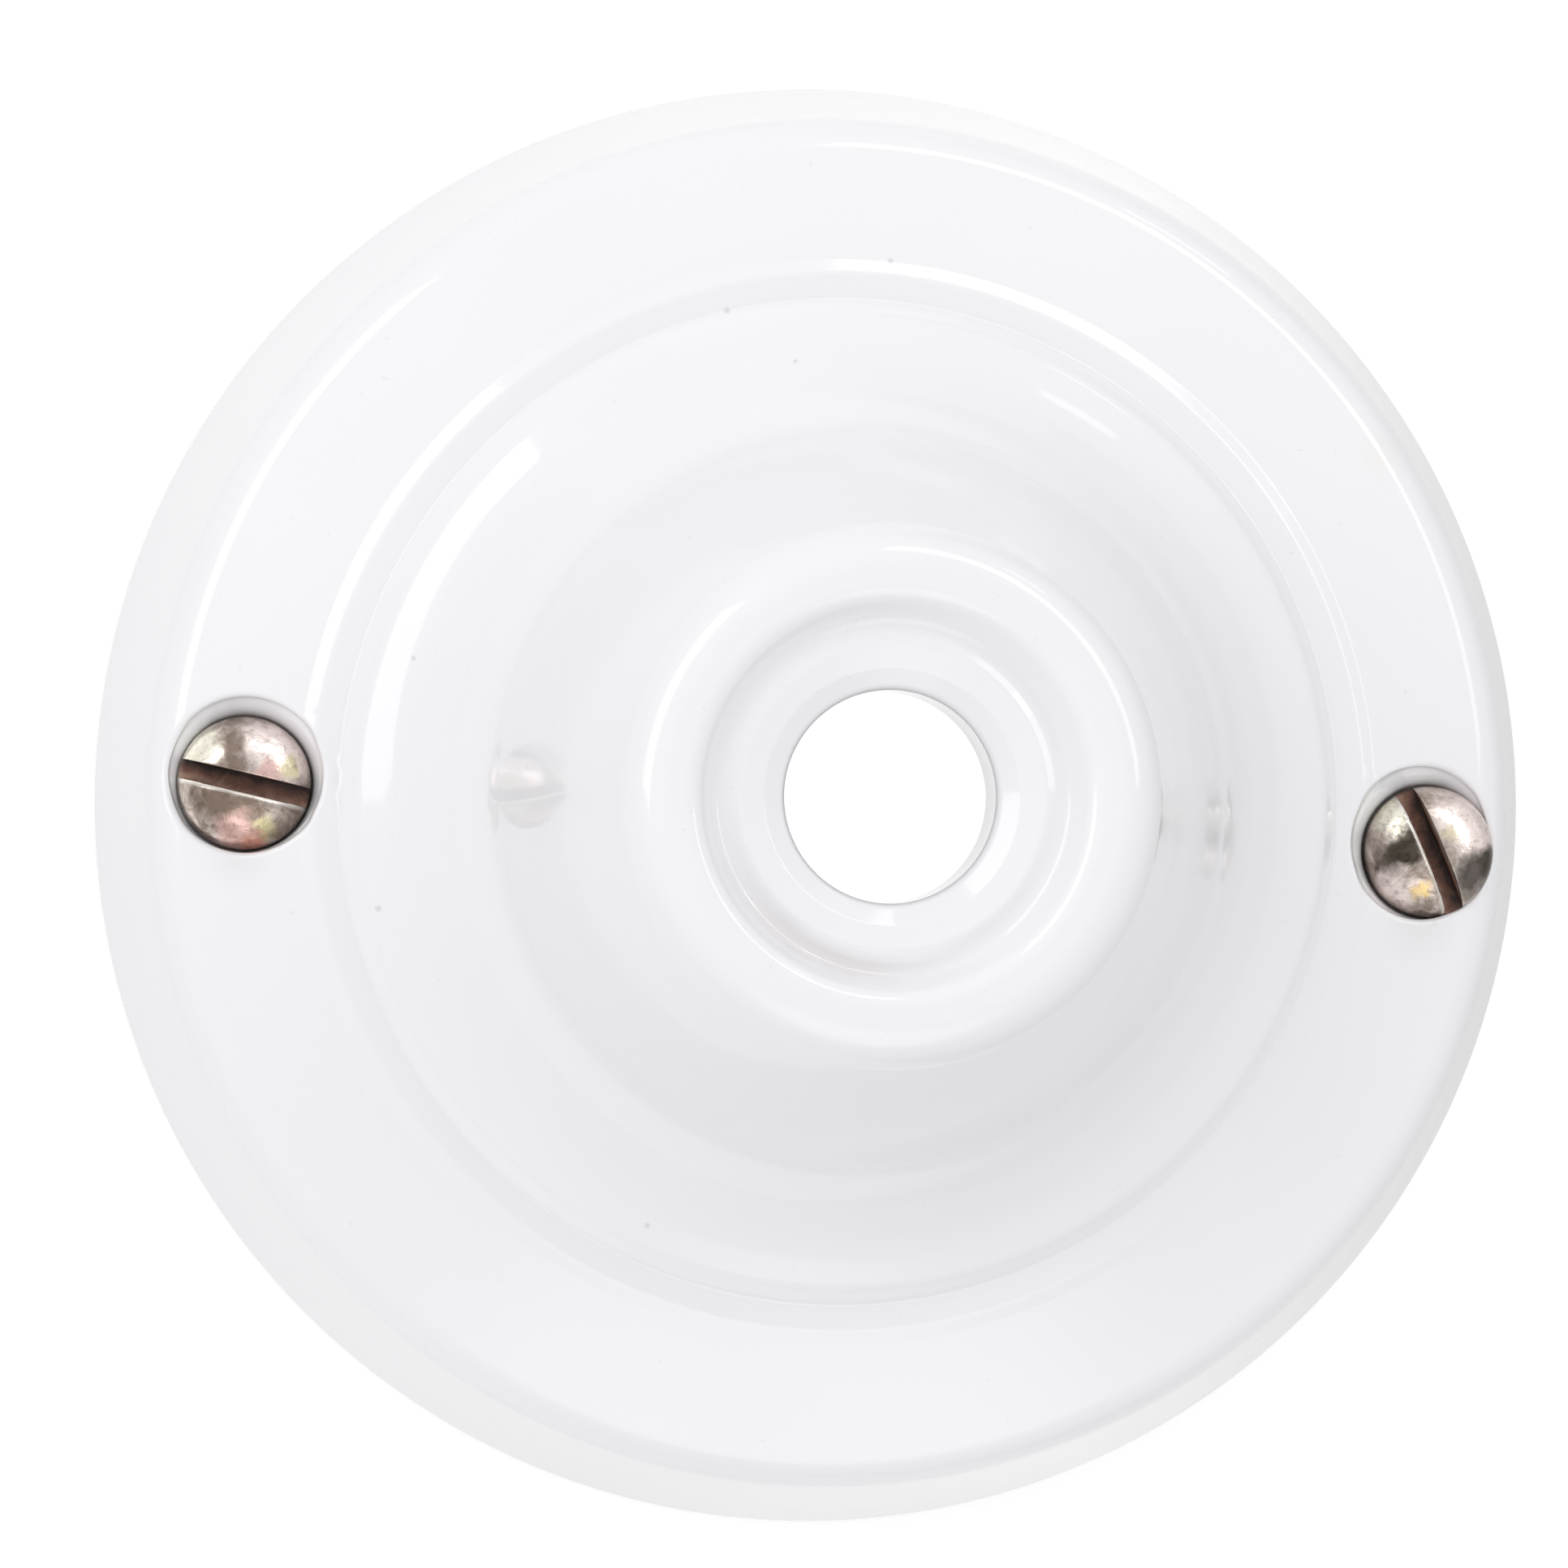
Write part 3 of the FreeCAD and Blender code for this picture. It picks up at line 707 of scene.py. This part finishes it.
def cover_grid(shell):
    """Turns the cover's outline round its axis; returns the faces, each with whether it lies outside."""
    loop = rounded_loop(COVER_LOOP, *MESH_STEPS)
    columns = []
    for k in range(COVER_SEGMENTS):
        angle = 2 * math.pi * k / COVER_SEGMENTS
        c, s = math.cos(angle), math.sin(angle)
        columns.append([shell.add((p.x * c, p.x * s, p.y), (n.x * c, n.x * s, n.y)) for p, n in loop])
    faces = []
    for k in range(COVER_SEGMENTS):
        here, following = columns[k], columns[(k + 1) % COVER_SEGMENTS]
        for index in range(len(loop)):
            after = (index + 1) % len(loop)
            outside = loop[index][1].y > OUTSIDE_RISE and loop[after][1].y > OUTSIDE_RISE
            faces.append(((here[index], following[index], following[after], here[after]), outside))
    return faces


def cut_round(shell, faces, centre, outside):
    """Parts the faces into those where a pocket goes, on one side of the cover, and the rest."""
    cut = []
    kept = []
    for face, is_outside in faces:
        if is_outside == outside and all(near_pocket(shell.points[v], centre, outside) for v in face):
            cut.append(face)
        else:
            kept.append((face, is_outside))
    return cut, kept


def make_cover():
    """The cover, a turned shell with a pocket stitched into it for each screw."""
    shell = Shell()
    remaining = cover_grid(shell)
    holes = []
    for centre in POCKETS:
        for outside in (True, False):
            cut, remaining = cut_round(shell, remaining, centre, outside)
            holes.append(cut)
    grid = [face for face, _ in remaining]
    loops = [boundary_loop(cut, grid) for cut in holes]
    shell.faces += grid
    jobs = iter(zip(holes, loops))
    for centre, node in zip(POCKETS, SLOT_ANGLES):
        rings = Pocket(shell, centre, head_place(node)).build()
        for ring, outside in zip(rings, (True, False)):
            cut, loop = next(jobs)
            inner = {vertex for face in cut for vertex in face} - set(loop)
            between = sorted(v for v in inner if clear_of_rings(shell.points[v], centre, outside))
            stitch(shell, loop, ring, between, outside)
    return shell_object("glazed_cover", shell)


# Screws
def spread(low, high, count):
    """Evenly spaced values, both ends included."""
    return [low + (high - low) * k / (count - 1) for k in range(count)]


def lip_rows(lip):
    """Distances from the slot's middle of the rows of vertices on one side of it, edge rows first."""
    rows = [(SLOT_HALF + lip * share, "lip") for share in LIP_SHARES]
    rows += [(v, "dome") for v in spread(SLOT_HALF + lip + DOME_START, HEAD_RADIUS - DOME_END, DOME_ROWS)]
    return rows + [(HEAD_RADIUS - inset, "dome") for inset in EDGE_INSETS]


def head_rows():
    """All rows across the head, from the side of the slot's worn lip to the other."""
    worn = [(-v, kind) for v, kind in reversed(lip_rows(WORN_LIP))]
    floor = [-v for v in FLOOR_ROWS] + [0.0] + list(reversed(FLOOR_ROWS))
    return worn + [(v, "slot") for v in floor] + lip_rows(SHARP_LIP)


def dome_height(u, v, seed):
    """Height of the dented dome over the head's underside, at a place along and across the slot."""
    out = min(1.0, math.hypot(u, v) / HEAD_RADIUS)
    rise = (HEAD_HEIGHT - HEAD_EDGE) * (1 - out ** HEAD_FLATNESS) ** HEAD_POWER
    wide_dents = WIDE_DENT * noise.noise(Vector((u, v, 0.0)) * WIDE_DENTS_PER_MM + seed)
    fine_dents = FINE_DENT * noise.noise(Vector((u, v, FINE_DENT_LAYER)) * FINE_DENTS_PER_MM + seed)
    return HEAD_EDGE + rise + wide_dents + fine_dents


def head_point(u, v, kind, seed):
    """Height of a point of the head, with the wear and painted highlight of the edges and the painted shade
    in the slot.
    """
    top = dome_height(u, v, seed)
    if kind == "slot":
        along, across = SLOT_GRIT_PER_MM
        grit = SLOT_GRIT * noise.noise(Vector((u * along, v * across, SLOT_GRIT_LAYER)) + seed)
        # Painted shade: the slot's floor darkens from one wall across to the other
        shade = SLOT_LEAST_SHADE + (1 - SLOT_LEAST_SHADE) * (v + SLOT_HALF) / SLOT_WIDTH
        return min(HEAD_HEIGHT - SLOT_DEPTH, top - LEAST_SLOT) + grit, (0.0, shade)
    if kind == "lip":
        lip = WORN_LIP if v < 0 else SHARP_LIP
        share = 1 - (abs(v) - SLOT_HALF) / lip
        return top - LIP_DROP * lip * share ** 2, (share if v < 0 else SHARP_LIP_WEAR_AND_SHINE * share, 0.0)
    return top, UNMARKED


def make_head(shell, wear_and_shade, centre, seat, angle, seed):
    """The head's upper side as a grid along the slot; returns the vertices round its edge."""
    grid = []
    for v, kind in head_rows():
        width = math.sqrt(HEAD_RADIUS ** 2 - v ** 2)
        line = []
        for t in spread(-1.0, 1.0, HEAD_COLUMNS):
            u = width * math.sin(math.pi / 2 * t)
            # The wear and painted highlight of the edges, and the painted shade of the slot
            top, worn = head_point(u, v, kind, seed)
            x = centre.x + u * math.cos(angle) - v * math.sin(angle)
            y = centre.y + u * math.sin(angle) + v * math.cos(angle)
            index = shell.add((x, y, seat + top))
            wear_and_shade[index] = worn
            line.append(index)
        grid.append(line)
    for first, second in zip(grid, grid[1:]):
        for k in range(len(first) - 1):
            shell.faces.append((first[k], first[k + 1], second[k + 1], second[k]))
    right = [line[-1] for line in grid]
    left = [line[0] for line in grid]
    return grid[0] + right[1:] + list(reversed(grid[-1][:-1])) + list(reversed(left[1:-1]))


def thread_radius(height, direction, tip, seat):
    """Radius of the shank, with a V thread that fades out at both ends and a tapered tip."""
    fade = max(0.0, min(1.0, (height - tip) / THREAD_FADE_TIP, (seat - height) / THREAD_FADE_HEAD))
    taper = TIP_TAPER * max(0.0, 1 - (height - tip) / TIP_LENGTH)
    phase = (height / THREAD_PITCH - direction / (2 * math.pi)) % 1.0
    return SHANK_RADIUS - THREAD_DEPTH * (1 - abs(2 * phase - 1)) * fade - taper


def make_cover_screw(node):
    """A domed slotted screw with a cut thread, in the place of its CAD node."""
    low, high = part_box(node)
    centre = ((low + high) / 2) / MM
    tip = low.z / MM
    seat = high.z / MM - HEAD_HEIGHT
    shell = Shell()
    wear_and_shade = {}
    outline = make_head(shell, wear_and_shade, centre, seat, math.radians(SLOT_ANGLES[node]), DENT_SEEDS[node])
    directions = [math.atan2(shell.points[index].y - centre.y, shell.points[index].x - centre.x)
                  for index in outline]

    def ring(radii, height):
        return [shell.add((centre.x + radius * math.cos(a), centre.y + radius * math.sin(a), height))
                for radius, a in zip(radii, directions)]

    count = len(outline)
    rings = [outline, ring([HEAD_RADIUS] * count, seat + HEAD_UNDERSIDE),
             ring([HEAD_RADIUS - HEAD_UNDERCUT] * count, seat), ring([SHANK_RADIUS] * count, seat)]
    length = seat - tip
    steps = int(length / THREAD_PITCH * THREAD_RINGS)
    for step in range(1, steps + 1):
        height = seat - length * step / steps
        rings.append(ring([thread_radius(height, a, tip, seat) for a in directions], height))
    for upper, lower in zip(rings, rings[1:]):
        shell.bridge(lower, upper)
    shell.faces.append(tuple(reversed(rings[-1])))
    return worn_and_shaded_object(node + "_turned", shell, wear_and_shade)


# Materials
class Nodes:
    """Short calls for building the nodes of a material or of the world."""

    SCALARS = ("DISTANCE", "LENGTH", "DOT_PRODUCT")
    COLOUR_INPUTS = (6, 7)
    COLOUR_OUTPUT = 2

    def __init__(self, tree):
        self.tree = tree

    def new(self, kind):
        return self.tree.nodes.new(kind)

    def link(self, source, target):
        self.tree.links.new(source, target)

    def put(self, target, value):
        """Gives an input a number, a vector or a colour, or links an output into it."""
        if isinstance(value, bpy.types.NodeSocket):
            self.link(value, target)
        elif target.type == "RGBA":
            target.default_value = (*value, 1.0)
        else:
            target.default_value = value

    def ramp(self, source, stops):
        node = self.new("ShaderNodeValToRGB")
        elements = node.color_ramp.elements
        while len(elements) < len(stops):
            elements.new(0.5)
        for element, (position, colour) in zip(elements, stops):
            element.position = position
            element.color = (*colour, 1.0)
        self.link(source, node.inputs["Fac"])
        return node.outputs["Color"]

    def remap(self, source, given, wanted, smooth=False):
        """Turns one range of values into another and keeps to its ends."""
        node = self.new("ShaderNodeMapRange")
        if smooth:
            node.interpolation_type = "SMOOTHSTEP"
        for key, value in zip(("From Min", "From Max", "To Min", "To Max"), (*given, *wanted)):
            self.put(node.inputs[key], value)
        self.link(source, node.inputs["Value"])
        return node.outputs["Result"]

    def math(self, operation, *values):
        node = self.new("ShaderNodeMath")
        node.operation = operation
        for target, value in zip(node.inputs, values):
            self.put(target, value)
        return node.outputs[0]

    def vector(self, operation, *values):
        node = self.new("ShaderNodeVectorMath")
        node.operation = operation
        for target, value in zip(node.inputs, values):
            self.put(target, value)
        return node.outputs["Value" if operation in self.SCALARS else "Vector"]

    def mix(self, factor, a, b):
        """Goes from one colour to another with the factor."""
        node = self.new("ShaderNodeMix")
        node.data_type = "RGBA"
        self.put(node.inputs["Factor"], factor)
        for place, value in zip(self.COLOUR_INPUTS, (a, b)):
            self.put(node.inputs[place], value)
        return node.outputs[self.COLOUR_OUTPUT]


class Finish(Nodes):
    """A material round one principled shader, whose patterns stand still on the object."""

    def __init__(self, name):
        self.material = bpy.data.materials.new(name)
        self.material.use_nodes = True
        super().__init__(self.material.node_tree)
        self.tree.nodes.clear()
        output = self.new("ShaderNodeOutputMaterial")
        self.shader = self.new("ShaderNodeBsdfPrincipled")
        self.link(self.shader.outputs[0], output.inputs["Surface"])
        self.place = self.new("ShaderNodeTexCoord").outputs["Object"]

    def set(self, **values):
        """Sets or links inputs of the shader, with _ for the spaces in their names."""
        for key, value in values.items():
            self.put(self.shader.inputs[key.replace("_", " ")], value)

    def noise(self, per_mm, detail=3.0, rough=0.5, distort=0.0, offset=(0, 0, 0), stretch=(1, 1, 1)):
        mapping = self.new("ShaderNodeMapping")
        mapping.inputs["Location"].default_value = offset
        mapping.inputs["Scale"].default_value = [per_mm / MM * s for s in stretch]
        self.link(self.place, mapping.inputs["Vector"])
        node = self.new("ShaderNodeTexNoise")
        for key, value in zip(("Scale", "Detail", "Roughness", "Distortion"), (1.0, detail, rough, distort)):
            node.inputs[key].default_value = value
        self.link(mapping.outputs[0], node.inputs["Vector"])
        return node.outputs["Fac"]

    def bump(self, source, height_mm, under=None):
        node = self.new("ShaderNodeBump")
        node.inputs["Distance"].default_value = height_mm * MM
        self.link(source, node.inputs["Height"])
        if under is not None:
            self.link(under, node.inputs["Normal"])
        return node.outputs[0]

    def attribute(self, name):
        node = self.new("ShaderNodeAttribute")
        node.attribute_name = name
        return node.outputs["Fac"]

    def flattened(self, place):
        """A place without its height, so that what is drawn with it goes straight down."""
        return self.vector("MULTIPLY", place, (1.0, 1.0, 0.0))

    def wander(self, per_mm, reach_mm):
        """The place moved about softly, so that what is drawn with it has an uneven edge."""
        node = self.new("ShaderNodeTexNoise")
        node.inputs["Scale"].default_value = per_mm / MM
        node.inputs["Detail"].default_value = 3.0
        self.link(self.place, node.inputs["Vector"])
        offset = self.vector("SUBTRACT", node.outputs["Color"], (0.5, 0.5, 0.5))
        reach = 2 * reach_mm * MM
        return self.vector("ADD", self.place, self.vector("MULTIPLY", offset, (reach, reach, reach)))

    def spot(self, x, y, full_mm, last_mm, amount, place):
        """Falls from the amount to nothing between two distances from a place in mm."""
        away = self.vector("DISTANCE", place, (x * MM, y * MM, 0.0))
        return self.remap(away, (full_mm * MM, last_mm * MM), (amount, 0.0))


def stain_and_shade(finish, colour, place, marking):
    """Tints a colour round a place, as far as it lies near a ring round the axis."""
    x, y, full, last, ring_radius, ring_width, tint, amount = marking
    near = finish.spot(x, y, full, last, amount, place)
    away = finish.math("SUBTRACT", finish.vector("LENGTH", place), ring_radius * MM)
    edges = (FULL_SHARE * ring_width * MM, ring_width * MM)
    band = finish.remap(finish.math("ABSOLUTE", away), edges, (1.0, 0.0))
    return finish.mix(finish.math("MULTIPLY", near, band), colour, tint)


def pitted(finish, colour, pits):
    """Darkens a colour where the glaze has pinholes."""
    place = finish.flattened(finish.place)
    hollow = 0.0
    for x, y, size in pits:
        hollow = finish.math("MAXIMUM", finish.spot(x, y, FULL_SHARE * size, size, 1.0, place), hollow)
    return finish.mix(finish.math("MULTIPLY", hollow, PIT_AMOUNT), colour, PIT_COLOUR)


def glaze_material(name, light, deep, pits=(), stains_and_shade=()):
    """Porcelain under a clear glaze: a little cooler where it is deep, softly uneven, with pinholes."""
    finish = Finish(name)
    cloud = finish.noise(per_mm=0.035, detail=2.0, rough=0.45)
    colour = finish.ramp(cloud, [(0.3, deep), (0.7, light)])
    specks = finish.remap(finish.noise(per_mm=2.2, detail=1.0), (0.76, 0.82), (0.0, 0.16))
    colour = finish.mix(specks, colour, GLAZE_SPECK)
    waves = finish.noise(per_mm=0.16, detail=1.0, rough=0.4)
    skin = finish.noise(per_mm=1.1, detail=2.0, rough=0.5, offset=(3.0, 1.0, 2.0))
    normal = finish.bump(skin, height_mm=0.0006, under=finish.bump(waves, height_mm=0.035))
    # Stains, with painted shade in the groove and below the screw heads
    if stains_and_shade:
        place = finish.flattened(finish.wander(per_mm=0.5, reach_mm=0.3))
        for marking in stains_and_shade:
            colour = stain_and_shade(finish, colour, place, marking)
    if pits:
        colour = pitted(finish, colour, pits)
    rough = finish.remap(finish.noise(per_mm=0.08, offset=(8.0, 2.0, 1.0)), (0.3, 0.7), (0.16, 0.24))
    finish.set(Base_Color=colour, Roughness=rough, Normal=normal, Coat_Normal=normal)
    finish.set(Coat_Weight=1.0, Coat_Roughness=0.05, Coat_IOR=1.5, Specular_IOR_Level=0.25)
    return finish.material


def plated_material(name, centre, tarnish_and_reflections):
    """Old bright plating on a screw head: blotched grey brown, with the given patches of tarnish, dark
    patches and painted reflections of the lamps.
    """
    finish = Finish(name)
    blotch = finish.noise(per_mm=0.75, detail=5.0, rough=0.68, distort=0.7, offset=(centre.x, 0.0, 0.0))
    fine = finish.noise(per_mm=2.6, detail=4.0, rough=0.65, offset=(5.0, 3.0, 7.0))
    colour = finish.ramp(blotch, PLATING)
    place = finish.flattened(finish.wander(per_mm=1.1, reach_mm=0.8))
    patchy = finish.remap(blotch, (0.36, 0.60), (0.72, 1.0))
    full, last = PATCH_EDGES
    # Patches laid on the plating: the pink-white and cream ones are painted reflections of the lamps, the
    # others tarnish
    for x, y, size, patch_colour, amount in tarnish_and_reflections:
        patch = finish.spot(centre.x / MM + x, centre.y / MM + y, full * size, last * size, amount, place)
        colour = finish.mix(finish.math("MULTIPLY", patch, patchy), colour, patch_colour)
    colour = finish.mix(finish.remap(fine, (0.52, 0.68), (0.0, 0.40)), colour, PLATING_SPECKS)
    # The slot's worn lip: bare metal with a painted highlight
    colour = finish.mix(finish.attribute("edge"), colour, BARE_EDGE_AND_HIGHLIGHT)
    # Painted shade on the slot's brown floor, darkest along one wall
    slot = finish.attribute("slot")
    streaked_shade = finish.math("ADD", slot, finish.remap(blotch, (0.3, 0.7), (0.12, -0.12)))
    floor = finish.ramp(streaked_shade, SLOT_FLOOR_AND_SHADE)
    colour = finish.mix(finish.remap(slot, (0.15, 0.4), (0.0, 1.0)), colour, floor)
    metallic = finish.remap(slot, (0.0, 0.5), (1.0, 0.45))
    rough = finish.remap(blotch, (0.3, 0.7), (0.27, 0.15))
    rough = finish.math("ADD", rough, finish.math("MULTIPLY", slot, SLOT_ROUGHNESS))
    normal = finish.bump(blotch, height_mm=0.05, under=finish.bump(fine, height_mm=0.010))
    finish.set(Base_Color=colour, Metallic=metallic, Roughness=rough, Normal=normal)
    return finish.material


def metal_material(name, dark, bright, rough):
    """Worked metal with cloudy tarnish and fine tool marks."""
    finish = Finish(name)
    cloud = finish.noise(per_mm=0.4, detail=4.0, rough=0.6)
    colour = finish.ramp(cloud, [(0.32, dark), (0.68, bright)])
    roughness = finish.remap(cloud, (0.3, 0.7), (rough + 0.1, rough - 0.06))
    tool_marks = finish.noise(per_mm=1.0, detail=2.0, stretch=(0.6, 0.6, 9.0))
    normal = finish.bump(tool_marks, height_mm=0.004)
    finish.set(Base_Color=colour, Metallic=1.0, Roughness=roughness, Normal=normal)
    return finish.material


def fibre_material(name):
    """Pressed red fibre board, matt with a felted grain."""
    finish = Finish(name)
    grain = finish.noise(per_mm=1.6, detail=5.0, rough=0.65, stretch=(1.0, 0.35, 3.0))
    colour = finish.ramp(grain, RED_FIBRE)
    finish.set(Base_Color=colour, Roughness=0.62, Normal=finish.bump(grain, height_mm=0.03))
    return finish.material


def stage_material(name):
    """Plain white floor, which reads as the white background but keeps the shadow."""
    finish = Finish(name)
    tint = finish.ramp(finish.noise(per_mm=0.004, detail=1.0), FLOOR_GREYS)
    paths = finish.new("ShaderNodeLightPath")
    sideways = finish.vector("DOT_PRODUCT", finish.place, (1.0, 0.0, 0.0))
    level = finish.remap(sideways, [edge * MM for edge in MIRRORED_SPAN], MIRRORED_FLOOR)
    mirrored = finish.math("MULTIPLY", paths.outputs["Is Glossy Ray"], level)
    seen = finish.math("MAXIMUM", paths.outputs["Is Camera Ray"], mirrored)
    seen = finish.math("MAXIMUM", seen, paths.outputs["Is Transmission Ray"])
    away = finish.vector("DISTANCE", finish.place, (0.0, 0.0, 0.0))
    under = finish.remap(away, [edge * MM for edge in UNDER_SPAN], UNDER_LEVELS)
    finish.set(Base_Color=tint, Roughness=0.9, Specular_IOR_Level=0.1)
    finish.set(Emission_Color=(1.0, 1.0, 1.0), Emission_Strength=finish.math("MULTIPLY", seen, under))
    return finish.material


# Studio
def place_camera():
    """The photograph's view: almost along the axis, with the origin at its pixel."""
    tx, ty = math.sin(CAMERA_TILT_X), math.sin(CAMERA_TILT_Y)
    back = Vector((-tx, -ty, math.sqrt(1 - tx * tx - ty * ty)))
    right = Vector((0.0, 1.0, 0.0)).cross(back).normalized()
    turn = Matrix((right, back.cross(right), back)).transposed() @ Matrix.Rotation(CAMERA_ROLL, 3, "Z")
    data = bpy.data.cameras.new("photo_camera")
    data.sensor_width = CAMERA_SENSOR
    data.lens = CAMERA_SENSOR * PIXELS_PER_MM * CAMERA_DISTANCE / IMAGE_WIDTH
    data.clip_start = CAMERA_NEAR * MM
    camera = scene_object("photo_camera", data)
    across, down = ((pixel - IMAGE_WIDTH / 2) / PIXELS_PER_MM for pixel in ORIGIN_PIXEL)
    origin_in_view = Vector((across, -down, -CAMERA_DISTANCE)) * MM
    camera.matrix_world = Matrix.Translation(-(turn @ origin_in_view)) @ turn.to_4x4()
    bpy.context.scene.camera = camera


def softbox(name, azimuth, elevation, width, height, radiance, mirrored):
    """A rectangular lamp that faces the object, hidden from the camera."""
    data = bpy.data.lights.new(name, "AREA")
    data.shape = "RECTANGLE"
    data.size = width
    data.size_y = height
    data.energy = radiance * math.pi * width * height
    lamp = scene_object(name, data)
    a, e = math.radians(azimuth), math.radians(elevation)
    toward = Vector((math.cos(e) * math.cos(a), math.cos(e) * math.sin(a), math.sin(e)))
    lamp.location = toward * LAMP_DISTANCE
    lamp.rotation_euler = (LAMP_TARGET - lamp.location).to_track_quat("-Z", "Y").to_euler()
    lamp.visible_camera = False
    lamp.visible_glossy = mirrored


def make_world():
    """An even studio: plain white to the camera, softly graded where it lights the object."""
    world = bpy.data.worlds.new("studio")
    world.use_nodes = True
    nodes = Nodes(world.node_tree)
    direction = nodes.new("ShaderNodeTexCoord").outputs["Generated"]
    facing = nodes.vector("DOT_PRODUCT", direction, BRIGHT_SIDE)
    ends = (WORLD_LEVEL * (1 - WORLD_CONTRAST), WORLD_LEVEL * (1 + WORLD_CONTRAST))
    slope = nodes.remap(facing, (-1.0, 1.0), ends)
    toward = nodes.vector("DOT_PRODUCT", direction, FRONT_GLOW)
    edges = [math.cos(angle) for angle in FRONT_GLOW_ANGLES]
    glow = nodes.remap(toward, edges, (0.0, FRONT_GLOW_LEVEL), smooth=True)
    paths = nodes.new("ShaderNodeLightPath")
    seen = nodes.math("MAXIMUM", paths.outputs["Is Camera Ray"], paths.outputs["Is Transmission Ray"])
    level = nodes.remap(seen, (0.0, 1.0), (nodes.math("ADD", slope, glow), 1.0))
    background = nodes.tree.nodes["Background"]
    nodes.put(background.inputs["Color"], (1.0, 1.0, 1.0))
    nodes.put(background.inputs["Strength"], level)
    bpy.context.scene.world = world


def make_floor():
    """A wide floor just under the rim."""
    data = bpy.data.meshes.new("floor")
    mesh = bmesh.new()
    bmesh.ops.create_grid(mesh, x_segments=4, y_segments=4, size=FLOOR_SIZE * MM,
                          matrix=Matrix.Translation((0.0, 0.0, -FLOOR_DROP * MM)))
    mesh.to_mesh(data)
    mesh.free()
    data.materials.append(stage_material("floor_white"))
    floor = scene_object("floor", data)


# Pieces
def add_cover():
    cover = make_cover()
    glaze = glaze_material("cover_glaze_finish", *COVER_GLAZE, GLAZE_PITS, GLAZE_STAINS_AND_SHADE)
    cover.data.materials.append(glaze)
    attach(cover, "root")
    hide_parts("cover")


def add_cover_screw(node):
    screw = make_cover_screw(node)
    low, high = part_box(node)
    screw.data.materials.append(plated_material(node + "_plating", (low + high) / 2, HEAD_TARNISH_AND_REFLECTIONS[node]))
    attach(screw, "root")
    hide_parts(node)


def dress_node(node, material, bevel_mm):
    """Gives a CAD node its material and softens its edges."""
    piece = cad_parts[node]
    piece.data.materials.clear()
    piece.data.materials.append(material)
    weld = piece.modifiers.new("weld", "WELD")
    weld.merge_threshold = WELD_REACH * MM
    bevel = piece.modifiers.new("soft_edges", "BEVEL")
    bevel.width = bevel_mm * MM
    bevel.segments = BEVEL_SEGMENTS
    bevel.limit_method = "ANGLE"
    bevel.angle_limit = BEVEL_ANGLE
    bevel.harden_normals = True
    bevel.use_clamp_overlap = True


def dress_inside():
    """Materials and edge widths in mm of the base and what it carries."""
    brass = metal_material("turned_brass", *TURNED_BRASS)
    brass_screw = metal_material("brass_screws", *SCREW_BRASS)
    zinc = metal_material("zinc_plate", *ZINC_PLATE)
    finishes = {"base": (glaze_material("base_glaze_finish", *BASE_GLAZE), 0.3),
                "cord_clamp_bar": (fibre_material("red_fibre"), 0.2),
                "cord_clamp_screws": (zinc, 0.12), "cord_clamp_nuts": (zinc, 0.15)}
    for side in ("left", "right"):
        finishes["cover_pillar_" + side] = (brass, 0.12)
    for name in ("line", "neutral", "loop", "earth"):
        finishes[name + "_terminal"] = (brass, 0.15)
        finishes[name + "_clamp_screws"] = (brass_screw, 0.1)
        finishes[name + "_terminal_screw"] = (zinc, 0.1)
    for node, (material, bevel_mm) in finishes.items():
        dress_node(node, material, bevel_mm)


def main():
    place_camera()
    make_world()
    for name, lamp in LAMPS.items():
        softbox(name, *lamp)
    make_floor()
    add_cover()
    for node in SLOT_ANGLES:
        add_cover_screw(node)
    dress_inside()
    bpy.context.scene.view_settings.view_transform = "Standard"


main()
